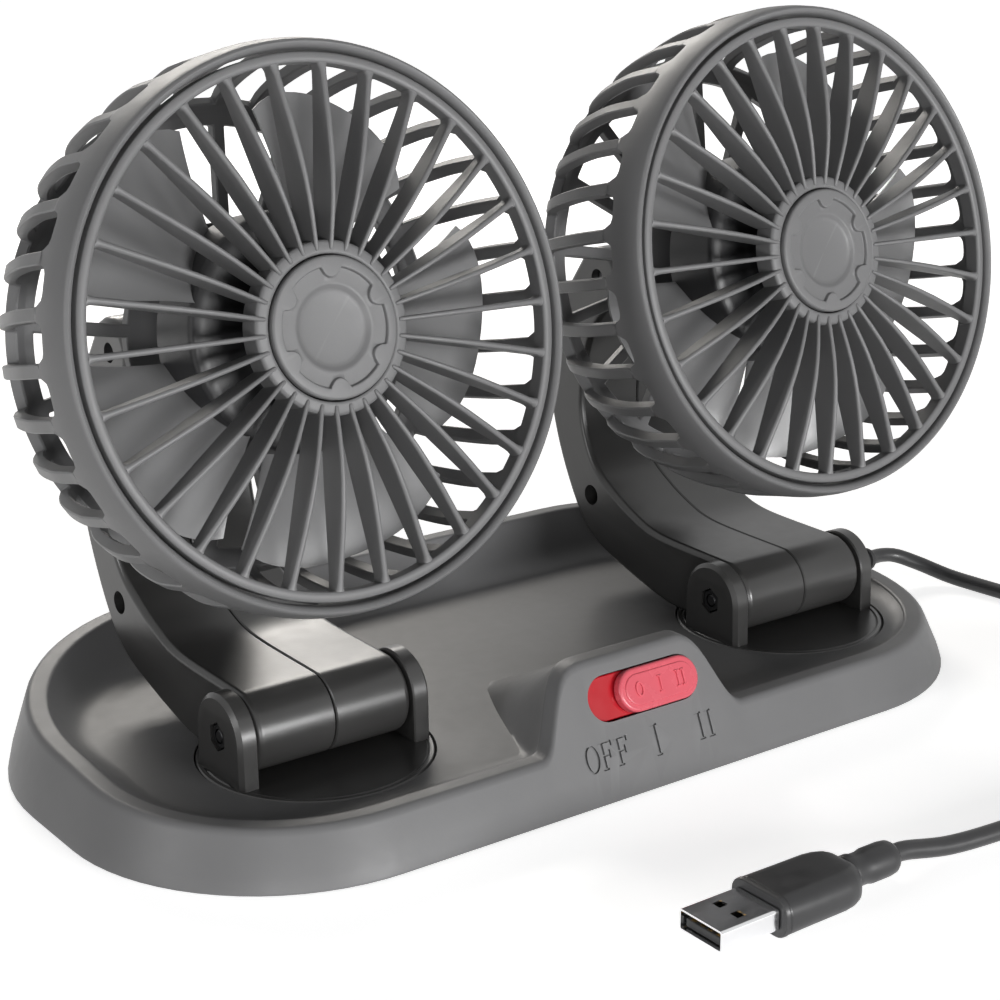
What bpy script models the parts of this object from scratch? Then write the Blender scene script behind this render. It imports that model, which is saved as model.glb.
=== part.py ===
# Dual head car fan: a dished base with two turntables, two curved arms and two caged fans.
# Metres, +Z up. The front, with the slide switch, faces -Y. The origin lies on the surface that the
# fan stands on, under the middle of the object without its cord.

from math import asin, atan, cos, hypot, pi, radians, sin, tau

import bmesh
import bpy
import numpy as np
from mathutils import Matrix, Vector

# Base
END_MARGIN = 0.0501  # from the middle of a turntable to the near end of the base
BASE_DEPTH = 0.1294
BASE_SHIFT = -0.006  # the base reaches further to the left of the two fans
FRONT_CORNER = 0.050
REAR_CORNER = 0.060
BASE_BOTTOM = 0.0005
FRONT_RIM = 0.0125
REAR_RIM = 0.022
RIM_SETBACK = 0.0055
RIM_ROUND = 0.0015
RIM_WIDTH = 0.005
HOUSING_WALL = 0.0022
WALL_FOOT = 0.0055
TRAY_FLOOR = 0.0102
FLOOR_THICKNESS = 0.0045
WALL_SPREAD_SHARE = 0.8  # how much wider the inner wall gets as the rim rises
FOOT_SHARE = 0.55
FOOT_HEIGHT_SHARE = 0.25

# Switch housing, the raised wedge at the front
HOUSING_LEFT = -0.0365
HOUSING_WIDTH = 0.0575
HOUSING_HEIGHT = 0.029
RAMP_DEPTH = 0.053
# How far along the housing, how much of its height and how much of its depth
HOUSING_SHARES = (
    (0, 0, 0),
    (0.04, 0.12, 0.10),
    (0.15, 0.74, 0.40),
    (0.235, 0.97, 0.62),
    (0.38, 1, 1),
    (0.76, 1, 1),
    (0.83, 0.88, 0.75),
    (0.89, 0.50, 0.45),
    (0.95, 0.10, 0.20),
    (1, 0, 0),
)

# Slide switch
SWITCH_X = -0.0059
SWITCH_HEIGHT = 0.0208
SLOT_LENGTH = 0.031
SLOT_WIDTH = 0.0104
KNOB_LENGTH = 0.0226
KNOB_PROUD = 0.0018
KNOB_DEPTH = 0.0009
LINER_DEPTH = 0.0012
LINER_THICKNESS = 0.0028
STEM_LENGTH = 0.003
STEM_WIDTH = 0.002
SWITCH_BODY = (0.020, 0.008, 0.0055)
BOARD = (0.028, 0.009, 0.0012)

# Base plate, pad and screws
PLATE_BOTTOM = 0.0015
PLATE_THICKNESS = 0.002
PAD_INSET = 0.009
PAD_THICKNESS = 0.0012
PAD_HOLE = 0.0045
FRONT_SCREW_END = 0.0753
FRONT_SCREW_INSET = 0.0187
REAR_SCREW_END = 0.0413
REAR_SCREW_INSET = 0.0347
SCREW_RADIUS = 0.0012
SCREW_HEAD_RADIUS = 0.0028
SCREW_HEAD_HEIGHT = 0.0009
SCREW_LENGTH = 0.0060
BOSS_RADIUS = 0.0036

# Turntables
CAGE_SPACE = 0.0204  # between the two cages
PIVOT_INSET = 0.0442  # from the base's front edge to the middle of a turntable
TABLE_RADIUS = 0.0261
TABLE_THICKNESS = 0.0023
TABLE_HUB_RADIUS = 0.0099
TABLE_HUB_LENGTH = 0.0026
RETAINER_RADIUS = 0.0145
RETAINER_THICKNESS = 0.0013
EAR_SPAN = 0.048
EAR_THICKNESS = 0.0044
EAR_RADIUS = 0.0094

# Arms
BARREL_HEIGHT = 0.0196
BARREL_RADIUS = 0.009
ARM_REACH = 0.0718
ARM_BAND = 0.0145
HINGE_BACK = 0.0514
HINGE_UP = 0.0724
EYE_RADIUS = 0.008
BOLT_RADIUS = 0.0015
BOLT_HEAD_RADIUS = 0.0029
BOLT_HEAD_HEIGHT = 0.0018
NUT_FLATS = 0.0055
NUT_HEIGHT = 0.0021
POCKET_DEPTH = 0.0025
ARM_SCREW_BACK = 0.0529
ARM_SCREW_UP = 0.0134
ARM_SCREW_WELL = 0.0027
ARM_SCREW_WELL_DEPTH = 0.011
ARM_SCREW_LENGTH = 0.017
FORK_GAP = 0.013
FORK_RADIUS = 0.0105

# Heads
HEAD_TILT = 13  # degrees that the grille looks up
HEAD_REACH = 0.064  # from the head's hinge to the plane of the grille's groove
GROOVE_RADIUS = 0.056
CAGE_RADIUS = 0.059
CAGE_WALL = 0.0027
BAND_DEPTH = 0.0078
CAGE_DEPTH = 0.045
HOOP_RADIUS = 0.050
HUB_PLATE_RADIUS = 0.024
RIB_COUNT = 34
RIB_WIDTH = 0.0028
KNUCKLE_WIDTH = 0.0124
KNUCKLE_RADIUS = 0.007
PIN_RADIUS = 0.002
PIN_LENGTH = 0.034
FIN_COUNT = 30
FIN_TURN = -1.3  # degrees that the grille is turned against the cage's ribs
FIN_WIDTH = 0.0013
RING_THICKNESS = 0.0038
GRILLE_OPENING = 0.0531
FIN_RISE = 0.0028  # how far the fins bulge out in front of the ring
FIN_DEPTH = 0.0050
# How far out from the hub, how much of the rise and how much of the depth behind the ring's face
FIN_SHARES = ((0.69, 0.68, 0.68), (0.39, 1, 0.94))
GRILLE_HUB_RADIUS = 0.0168
HUB_RISE = 0.0008
CAP_RADIUS = 0.0146
CAP_SEAT = 0.0014
CAP_PROUD = 0.0009
CAP_DISH_RADIUS = 0.0086
CAP_DISH_DEPTH = 0.0008

# Impellers and motors
BLADE_COUNT = 5
BLADE_ANGLE = 65  # degrees, where the first blade's middle stands
BLADE_SPREAD = 58
BLADE_RADIUS = 0.050
BLADE_THICKNESS = 0.0013
BLADE_FRONT = 0.0125
BLADE_REAR = 0.0265
CUP_RADIUS = 0.0255
CUP_WALL = 0.0016
CUP_FRONT = 0.0115
CUP_REAR = 0.0275
CUP_BOSS_RADIUS = 0.0042
CUP_BOSS_REAR = 0.0200
MOTOR_RADIUS = 0.0122
MOTOR_FRONT = 0.0222
MOTOR_NOSE_RADIUS = 0.0045
MOTOR_NOSE_LENGTH = 0.0012
SHAFT_RADIUS = 0.0015
SHAFT_FRONT = 0.0138
SHAFT_REAR = 0.0260

# Cord and plug
CORD_DIAMETER = 0.004
GLAND_Y = 0.002
GLAND_HEIGHT = 0.008
GLAND_NECK_RADIUS = 0.0030
GLAND_ROOT_RADIUS = 0.0036
GLAND_TIP_RADIUS = 0.0026
GLAND_LENGTH = 0.0125
GLAND_INSIDE = 0.0065
COIL_X = 0.120
COIL_Y = -0.1013
COIL_RADIUS = 0.026
COIL_PITCH = 0.0046
COIL_TURNS_IN = 2.75
COIL_TURNS_OUT = 3.0
COIL_TURNS_CLIMB = 0.5
COIL_STEPS = 24
TIE_THICKNESS = 0.0006
TIE_WIDTH = 0.008
PLUG_Y = -0.1223
PLUG_X = -0.0105  # where the plug body's rear face lies
PLUG_BODY = (0.0225, 0.0158, 0.0084)
PLUG_EDGE = 0.0012
RELIEF_LENGTH = 0.0135
RELIEF_ROOT_RADIUS = 0.0037
RELIEF_TIP_RADIUS = 0.0028
SHELL = (0.0145, 0.0120, 0.0045)
SHELL_WALL = 0.0004
SHELL_WINDOW = 0.0022
SHELL_WINDOW_SPACING = 0.0050
SHELL_WINDOW_SETBACK = 0.0072
TONGUE_THICKNESS = 0.0018
TONGUE_SETBACK = 0.0010

GAP = 0.0003  # the clearance between pieces that touch or run in each other
OVERRUN = 0.002  # how far a cutter passes a face, and a joined shape sinks in
MERGE = 0.00001

ROUND = 32
MIDDLE_ROUND = 22
SMALL_ROUND = 12
CORNER_STEPS = 6
COIL_CLEARANCE = 0.0004

HEAD_SPACING = 2 * CAGE_RADIUS + CAGE_SPACE
BASE_LENGTH = HEAD_SPACING + 2 * END_MARGIN
PIVOT_Y = PIVOT_INSET - BASE_DEPTH / 2

for thing in list(bpy.data.objects):
    bpy.data.objects.remove(thing, do_unlink=True)

parts = bpy.data.collections.new("dual_head_car_fan")
cutters = bpy.data.collections.new("cutters")
bpy.context.scene.collection.children.link(parts)
bpy.context.scene.collection.children.link(cutters)


def finish(name, colour, roughness, metallic=0.0):
    material = bpy.data.materials.new(name)
    material.use_nodes = True
    shader = material.node_tree.nodes["Principled BSDF"]
    shader.inputs["Base Color"].default_value = (*colour, 1)
    shader.inputs["Roughness"].default_value = roughness
    shader.inputs["Metallic"].default_value = metallic
    return material


GREY_PLASTIC = finish("grey_plastic", (0.20, 0.20, 0.205), 0.45)
DARK_PLASTIC = finish("dark_plastic", (0.06, 0.058, 0.056), 0.35)
BLADE_PLASTIC = finish("blade_plastic", (0.36, 0.36, 0.36), 0.40)
BLACK_PLASTIC = finish("black_plastic", (0.02, 0.02, 0.02), 0.40)
RED_PLASTIC = finish("red_plastic", (0.75, 0.09, 0.13), 0.30)
RUBBER = finish("rubber", (0.03, 0.03, 0.03), 0.85)
STEEL = finish("steel", (0.62, 0.62, 0.64), 0.25, 1.0)
BOARD_GREEN = finish("board_green", (0.02, 0.14, 0.06), 0.50)
CORD_SHEATH = finish("cord_sheath", (0.035, 0.035, 0.035), 0.55)


def settle(obj, material, parent=None, place=(0, 0, 0), turn=(0, 0, 0), sharp=35):
    """Puts a new object in the model's collection, under its parent and shaded smooth."""
    parts.objects.link(obj)
    obj.parent = parent
    obj.location = place
    obj.rotation_euler = turn
    if obj.type == "MESH":
        obj.data.materials.append(material)
        obj.data.shade_smooth()
        obj.data.set_sharp_from_angle(angle=radians(sharp))
    else:
        obj.data.materials.append(material)
    return obj


def as_cutter(obj, parent=None, place=(0, 0, 0), turn=(0, 0, 0)):
    cutters.objects.link(obj)
    obj.parent = parent
    obj.location = place
    obj.rotation_euler = turn
    obj.hide_render = True
    obj.display_type = "WIRE"
    return obj


def pivot(name, parent=None, place=(0, 0, 0), turn=(0, 0, 0)):
    empty = bpy.data.objects.new(name, None)
    parts.objects.link(empty)
    empty.parent = parent
    empty.location = place
    empty.rotation_euler = turn
    return empty


def from_bmesh(name, bm):
    mesh = bpy.data.meshes.new(name)
    bmesh.ops.recalc_face_normals(bm, faces=bm.faces)
    bm.to_mesh(mesh)
    bm.free()
    return bpy.data.objects.new(name, mesh)


def along(axis):
    """Turns local Z to the named axis."""
    return {
        "Z": Matrix.Identity(4),
        "X": Matrix.Rotation(pi / 2, 4, "Y"),
        "Y": Matrix.Rotation(-pi / 2, 4, "X"),
    }[axis]


def rods(name, pieces):
    """One mesh of straight round rods: radius, length, middle, axis and sides of each."""
    bm = bmesh.new()
    for radius, length, middle, axis, sides in pieces:
        place = Matrix.Translation(middle) @ along(axis)
        bmesh.ops.create_cone(
            bm,
            cap_ends=True,
            segments=sides,
            radius1=radius,
            radius2=radius,
            depth=length,
            matrix=place,
        )
    return from_bmesh(name, bm)


def blocks(name, pieces):
    """One mesh of square blocks: size and middle of each."""
    bm = bmesh.new()
    for size, middle in pieces:
        place = Matrix.Translation(middle) @ Matrix.Diagonal((*size, 1))
        bmesh.ops.create_cube(bm, size=1, matrix=place)
    return from_bmesh(name, bm)


def turned(name, profile, steps=ROUND):
    """A turned shape: its profile of radius and height runs from the top down the outer side."""
    mesh = bpy.data.meshes.new(name)
    closed = profile[0] == profile[-1]
    points = profile[:-1] if closed else profile
    count = len(points)
    edges = [(i, (i + 1) % count) for i in range(count if closed else count - 1)]
    mesh.from_pydata([(radius, 0, height) for radius, height in points], edges, [])
    obj = bpy.data.objects.new(name, mesh)
    screw = obj.modifiers.new("turn", "SCREW")
    screw.steps = steps
    screw.render_steps = steps
    screw.use_merge_vertices = True
    screw.merge_threshold = MERGE
    screw.use_smooth_shade = True
    return obj


def slab(name, outlines, low, high, turn=Matrix.Identity(4)):
    """A flat piece between two levels. The first outline is its edge and the others are holes."""
    curve = bpy.data.curves.new(name, "CURVE")
    curve.dimensions = "2D"
    curve.fill_mode = "BOTH"
    curve.extrude = (high - low) / 2
    for outline in outlines:
        spline = curve.splines.new("POLY")
        spline.points.add(len(outline) - 1)
        for point, (across, up) in zip(spline.points, outline):
            point.co = (across, up, 0, 1)
        spline.use_cyclic_u = True
    drawn = bpy.data.objects.new(name + "_outline", curve)
    bpy.context.scene.collection.objects.link(drawn)
    graph = bpy.context.evaluated_depsgraph_get()
    mesh = bpy.data.meshes.new_from_object(drawn.evaluated_get(graph))
    bpy.data.objects.remove(drawn, do_unlink=True)
    mesh.name = name
    bm = bmesh.new()
    bm.from_mesh(mesh)
    bmesh.ops.remove_doubles(bm, verts=bm.verts, dist=MERGE)
    bmesh.ops.transform(
        bm, verts=bm.verts, matrix=turn @ Matrix.Translation((0, 0, (low + high) / 2))
    )
    bmesh.ops.recalc_face_normals(bm, faces=bm.faces)
    bm.to_mesh(mesh)
    bm.free()
    return bpy.data.objects.new(name, mesh)


# Turns a slab so that its outline stands in the YZ plane and its levels run along X.
SIDEWAYS = Matrix(((0, 0, 1, 0), (1, 0, 0, 0), (0, 1, 0, 0), (0, 0, 0, 1)))


def arc(middle, radius, start, end, steps):
    """Points on an arc, its angles in degrees."""
    angles = [radians(start + (end - start) * i / steps) for i in range(steps + 1)]
    return [(middle[0] + radius * cos(a), middle[1] + radius * sin(a)) for a in angles]


def circle(radius, sides, middle=(0, 0)):
    return arc(middle, radius, 0, 360 - 360 / sides, sides - 1)


def stadium(length, width, steps=8):
    """A slot's outline with round ends."""
    half = (length - width) / 2
    return arc((half, 0), width / 2, -90, 90, steps) + arc((-half, 0), width / 2, 90, 270, steps)


def smooth(points, spacing):
    """Evenly spaced points on a smooth curve through the given ones."""
    fixed = [Vector(p) for p in points]
    fixed = [2 * fixed[0] - fixed[1], *fixed, 2 * fixed[-1] - fixed[-2]]
    fine = []
    pieces = 24
    for a, b, c, d in zip(fixed, fixed[1:], fixed[2:], fixed[3:]):
        for i in range(pieces):
            t = i / pieces
            fine.append(
                ((2 * b) + (c - a) * t + (2 * a - 5 * b + 4 * c - d) * t * t
                 + (3 * b - a - 3 * c + d) * t * t * t) / 2
            )
    fine.append(fixed[-2])
    travelled = [0.0]
    for a, b in zip(fine, fine[1:]):
        travelled.append(travelled[-1] + (b - a).length)
    count = max(2, round(travelled[-1] / spacing))
    wanted = np.linspace(0, travelled[-1], count + 1)
    columns = [np.interp(wanted, travelled, [p[k] for p in fine]) for k in range(3)]
    return [Vector(p) for p in zip(*columns)]


def tube(name, points, diameter, resolution):
    curve = bpy.data.curves.new(name, "CURVE")
    curve.dimensions = "3D"
    curve.bevel_depth = diameter / 2
    curve.bevel_resolution = resolution
    curve.use_fill_caps = True
    spline = curve.splines.new("POLY")
    spline.points.add(len(points) - 1)
    for point, place in zip(spline.points, points):
        point.co = (*place, 1)
    return bpy.data.objects.new(name, curve)


def boolean(target, other, operation):
    modifier = target.modifiers.new(other.name, "BOOLEAN")
    modifier.operation = operation
    modifier.object = other
    return target


def round_edges(obj, width, segments=1, angle=50):
    bevel = obj.modifiers.new("edges", "BEVEL")
    bevel.width = width
    bevel.segments = segments
    bevel.limit_method = "ANGLE"
    bevel.angle_limit = radians(angle)
    return obj


# Base housing: rings of the base's outline, from the skirt over the rim down into the tray


def outline(inset):
    """The base's rounded outline, pulled in by inset. The ends of the switch housing are on it."""
    half_x = BASE_LENGTH / 2 - inset
    half_y = BASE_DEPTH / 2 - inset
    room_share = min(1, (BASE_DEPTH - WALL_FOOT) / (FRONT_CORNER + REAR_CORNER))
    front = FRONT_CORNER * room_share - inset
    rear = REAR_CORNER * room_share - inset
    corners = (
        (half_x - front, -half_y + front, front, -90),
        (half_x - rear, half_y - rear, rear, 0),
        (-half_x + rear, half_y - rear, rear, 90),
        (-half_x + front, -half_y + front, front, 180),
    )
    points = [
        (HOUSING_LEFT + HOUSING_WIDTH * along_share, -half_y)
        for along_share, _, _ in HOUSING_SHARES
    ]
    for x, y, radius, start in corners:
        points += [
            (BASE_SHIFT + px, py)
            for px, py in arc((x, y), radius, start, start + 90, CORNER_STEPS)
        ]
    return points


def housing_share(index, kind=1):
    return HOUSING_SHARES[index][kind] if index < len(HOUSING_SHARES) else 0


def rim_height(y):
    """The rim rises towards the rear."""
    travel = (y + BASE_DEPTH / 2) / BASE_DEPTH
    return FRONT_RIM + (REAR_RIM - FRONT_RIM) * max(0, travel) ** 2


def base_rings():
    """Rings of points, as many in each: up the skirt, over the rim, down to the floor, and back."""
    edge = outline(0)
    plain = [rim_height(y) for _, y in edge]
    lifted = [
        low + (HOUSING_HEIGHT - FRONT_RIM) * housing_share(i) for i, low in enumerate(plain)
    ]
    floor = TRAY_FLOOR
    ceiling = TRAY_FLOOR - FLOOR_THICKNESS
    sunk = HOUSING_WALL + RIM_ROUND / 2

    def ring(kind):
        points = []
        for i, (low, top) in enumerate(zip(plain, lifted)):
            lean = RIM_SETBACK / low
            crest = lean * top
            foot = WALL_FOOT + (low - FRONT_RIM) * WALL_SPREAD_SHARE
            depth = housing_share(i, 2)
            plain_end = RIM_SETBACK + RIM_WIDTH + foot
            reach = plain_end + (RAMP_DEPTH - plain_end) * depth - crest - RIM_WIDTH
            drop = top - floor
            middle = FOOT_HEIGHT_SHARE if housing_share(i) == 0 else 1 - FOOT_SHARE
            inset, height = {
                "bottom": (0, BASE_BOTTOM),
                "skirt": (lean * (top - RIM_ROUND), top - RIM_ROUND),
                "shoulder": (crest + RIM_ROUND / 4, top - RIM_ROUND / 3),
                "crest": (crest + RIM_ROUND, top),
                "inner crest": (crest + RIM_WIDTH - RIM_ROUND, top),
                "lip": (crest + RIM_WIDTH, top - RIM_ROUND / 2),
                "wall": (crest + RIM_WIDTH + reach * FOOT_SHARE, floor + drop * middle),
                "floor": (crest + RIM_WIDTH + reach, floor),
                "ceiling": (crest + RIM_WIDTH + reach - RIM_ROUND / 2, ceiling),
                "under rim": (crest + RIM_WIDTH - HOUSING_WALL, top - sunk),
                "under skirt": (lean * (top - sunk) + HOUSING_WALL, top - sunk),
                "inner bottom": (HOUSING_WALL, BASE_BOTTOM),
            }[kind]
            x, y = outline(inset)[i]
            points.append((x, y, height))
        return points

    return [
        ring(kind)
        for kind in (
            "floor",
            "wall",
            "lip",
            "inner crest",
            "crest",
            "shoulder",
            "skirt",
            "bottom",
            "inner bottom",
            "under skirt",
            "under rim",
            "ceiling",
        )
    ]


def lofted(name, rings):
    """A closed skin over rings of points, with a flat face on the first and the last ring."""
    bm = bmesh.new()
    rows = [[bm.verts.new(point) for point in ring] for ring in rings]
    count = len(rows[0])
    for upper, lower in zip(rows, rows[1:]):
        for i in range(count):
            j = (i + 1) % count
            bm.faces.new((upper[i], upper[j], lower[j], lower[i]))
    bm.faces.new(rows[0])
    bm.faces.new(rows[-1])
    return from_bmesh(name, bm)


def screw_places():
    front = -BASE_DEPTH / 2 + FRONT_SCREW_INSET
    rear = BASE_DEPTH / 2 - REAR_SCREW_INSET
    return [
        (BASE_SHIFT + side * (BASE_LENGTH / 2 - end), y)
        for end, y in ((FRONT_SCREW_END, front), (REAR_SCREW_END, rear))
        for side in (-1, 1)
    ]


FACE_LEAN = atan(RIM_SETBACK / FRONT_RIM)
switch_frame = pivot(
    "switch_frame",
    place=(SWITCH_X, -BASE_DEPTH / 2 + SWITCH_HEIGHT * RIM_SETBACK / FRONT_RIM, SWITCH_HEIGHT),
    turn=(pi / 2 - FACE_LEAN, 0, 0),
)
CEILING = TRAY_FLOOR - FLOOR_THICKNESS
PLATE_TOP = PLATE_BOTTOM + PLATE_THICKNESS
PIVOTS = [(side * HEAD_SPACING / 2, PIVOT_Y) for side in (-1, 1)]
RIGHT_END = BASE_SHIFT + BASE_LENGTH / 2


def base_housing():
    base = settle(lofted("base_housing", base_rings()), GREY_PLASTIC, sharp=28)
    boss_height = CEILING - PLATE_TOP - GAP + OVERRUN
    boss_middle = PLATE_TOP + GAP + boss_height / 2
    bosses = as_cutter(
        rods(
            "screw_bosses",
            [
                (BOSS_RADIUS, boss_height, (x, y, boss_middle), "Z", SMALL_ROUND)
                for x, y in screw_places()
            ],
        )
    )
    boolean(base, bosses, "UNION")
    well_bottom = TRAY_FLOOR - TABLE_THICKNESS - GAP
    well_height = HOUSING_HEIGHT - well_bottom
    hole_height = SCREW_LENGTH + OVERRUN
    holes = [
        (TABLE_RADIUS + GAP, well_height, (x, y, well_bottom + well_height / 2), "Z", ROUND)
        for x, y in PIVOTS
    ]
    holes += [
        (SCREW_RADIUS + GAP, hole_height, (x, y, PLATE_BOTTOM + hole_height / 2), "Z", SMALL_ROUND)
        for x, y in screw_places()
    ]
    gland_length = GLAND_INSIDE + GLAND_LENGTH
    gland_x = RIGHT_END - GLAND_INSIDE - OVERRUN + gland_length / 2
    gland_middle = (gland_x, GLAND_Y, GLAND_HEIGHT)
    holes.append((GLAND_NECK_RADIUS + GAP, gland_length, gland_middle, "X", SMALL_ROUND))
    boolean(base, as_cutter(rods("base_wells", holes)), "DIFFERENCE")
    bores = rods(
        "turntable_bores",
        [
            (TABLE_HUB_RADIUS + GAP, TRAY_FLOOR, (x, y, TRAY_FLOOR / 2 + OVERRUN), "Z", ROUND)
            for x, y in PIVOTS
        ],
    )
    boolean(base, as_cutter(bores), "DIFFERENCE")
    slot = slab("switch_slot", [stadium(SLOT_LENGTH, SLOT_WIDTH)], -HOUSING_WALL - OVERRUN, OVERRUN)
    boolean(base, as_cutter(slot, switch_frame), "DIFFERENCE")


def base_plate():
    edge = outline(HOUSING_WALL + GAP + PLATE_TOP * RIM_SETBACK / FRONT_RIM)
    holes = [circle(SCREW_RADIUS + GAP, SMALL_ROUND, place) for place in screw_places()]
    settle(slab("base_plate", [edge, *holes], PLATE_BOTTOM, PLATE_TOP), BLACK_PLASTIC)
    edge = outline(PAD_INSET)
    holes = [circle(PAD_HOLE, SMALL_ROUND, place) for place in screw_places()]
    settle(slab("grip_pad", [edge, *holes], 0, PAD_THICKNESS), RUBBER)
    head_top = PLATE_BOTTOM - GAP
    for number, (x, y) in enumerate(screw_places(), 1):
        profile = [
            (0, head_top + SCREW_LENGTH),
            (SCREW_RADIUS, head_top + SCREW_LENGTH),
            (SCREW_RADIUS, head_top),
            (SCREW_HEAD_RADIUS, head_top),
            (SCREW_HEAD_RADIUS, head_top - SCREW_HEAD_HEIGHT),
            (0, head_top - SCREW_HEAD_HEIGHT),
        ]
        settle(turned(f"base_screw_{number}", profile, SMALL_ROUND), STEEL, place=(x, y, 0))


def slide_switch():
    travel = (SLOT_LENGTH - KNOB_LENGTH) / 2 - GAP
    knob = slab(
        "switch_knob", [stadium(KNOB_LENGTH, SLOT_WIDTH - 2 * GAP)], -KNOB_DEPTH, KNOB_PROUD
    )
    settle(knob, RED_PLASTIC, switch_frame, place=(travel, 0, 0))
    stem_bottom = -LINER_DEPTH - LINER_THICKNESS
    stem_height = -KNOB_DEPTH - stem_bottom + GAP
    stem = blocks(
        "knob_stem",
        [((STEM_LENGTH, STEM_WIDTH, stem_height), (0, 0, stem_bottom + stem_height / 2))],
    )
    boolean(knob, as_cutter(stem, knob), "UNION")
    way = stadium(STEM_LENGTH + 2 * travel + 2 * GAP, STEM_WIDTH + 2 * GAP + STEM_WIDTH / 2)
    liner = slab(
        "switch_liner",
        [stadium(SLOT_LENGTH - 2 * GAP, SLOT_WIDTH - 2 * GAP), way],
        -LINER_DEPTH - LINER_THICKNESS,
        -LINER_DEPTH,
    )
    settle(liner, RED_PLASTIC, switch_frame)
    body_top = -LINER_DEPTH - LINER_THICKNESS - GAP
    body = blocks("switch_body", [(SWITCH_BODY, (0, 0, body_top - SWITCH_BODY[2] / 2))])
    settle(body, BLACK_PLASTIC, switch_frame)
    board_top = body_top - SWITCH_BODY[2] - GAP
    board = blocks("circuit_board", [(BOARD, (0, 0, board_top - BOARD[2] / 2))])
    settle(board, BOARD_GREEN, switch_frame)


# Arms: two mirrored halves, each the band's side outline pressed out to half the barrel's width

HINGE = (HINGE_BACK, HINGE_UP)


def arm_outline():
    """From the barrel's underside back along the band, round the hinge eye and down its front."""
    under = [
        (BARREL_RADIUS * back, BARREL_RADIUS * up)
        for back, up in ((1.72, -0.955), (2.63, -0.87), (4.23, -0.45), (5.71, 0.10))
    ]
    rear = [
        (ARM_REACH - ARM_BAND * inward, HINGE_UP * up)
        for inward, up in ((0.84, 0.125), (0.30, 0.33), (0.02, 0.53), (0.05, 0.72), (0.30, 0.87))
    ]
    front_shares = (
        (1.28, 0.80),
        (1.06, 0.66),
        (1.00, 0.50),
        (1.19, 0.37),
        (1.51, 0.28),
        (2.01, 0.215),
    )
    front = [
        (ARM_REACH - ARM_BAND * inward, HINGE_UP * up) for inward, up in front_shares
    ]
    top = [
        (BARREL_RADIUS * back, BARREL_RADIUS * up)
        for back, up in ((4.00, 1.38), (3.26, 1.13), (2.26, 1.03))
    ]
    barrel = arc((0, 0), BARREL_RADIUS, 90, 270, 12)
    eye = arc(HINGE, EYE_RADIUS, 40, 215, 10)
    return under + rear + eye + front + top + barrel


def arm_half(name, side, pitch):
    inner = GAP / 2
    outer = EAR_SPAN / 2 - EAR_THICKNESS - GAP
    holes = [circle(BOLT_RADIUS + GAP, SMALL_ROUND), circle(PIN_RADIUS + GAP, SMALL_ROUND, HINGE)]
    low, high = (inner, outer) if side > 0 else (-outer, -inner)
    half = slab(name, [arm_outline(), *holes], low, high, SIDEWAYS)
    settle(half, DARK_PLASTIC, pitch)
    place = (0, HINGE_BACK, HINGE_UP)
    fork = rods(name + "_fork", [(FORK_RADIUS, FORK_GAP, place, "X", ROUND)])
    boolean(half, as_cutter(fork, pitch), "DIFFERENCE")
    well_end = outer - ARM_SCREW_WELL_DEPTH
    shaft_length = 2 * ARM_SCREW_LENGTH
    spot = (ARM_SCREW_BACK, ARM_SCREW_UP)
    shaft_x = -well_end - GAP + ARM_SCREW_LENGTH - shaft_length / 2
    shaft = rods(
        name + "_screw_hole",
        [(SCREW_RADIUS + GAP, shaft_length, (shaft_x, *spot), "X", SMALL_ROUND)],
    )
    boolean(half, as_cutter(shaft, pitch), "DIFFERENCE")
    if side < 0:
        length = ARM_SCREW_WELL_DEPTH + OVERRUN
        well = rods(
            name + "_well", [(ARM_SCREW_WELL, length, (-well_end - length / 2, *spot), "X", SMALL_ROUND)]
        )
        boolean(half, as_cutter(well, pitch), "DIFFERENCE")
    return half


def screw_along_x(name, head_radius, head_height, radius, length, material, parent, place):
    """A screw whose head looks to -X, placed by the middle of its head's outer face."""
    profile = [
        (0, length),
        (radius, length),
        (radius, head_height),
        (head_radius, head_height),
        (head_radius, 0),
        (0, 0),
    ]
    return settle(turned(name, profile, SMALL_ROUND), material, parent, place, (0, pi / 2, 0))


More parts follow.
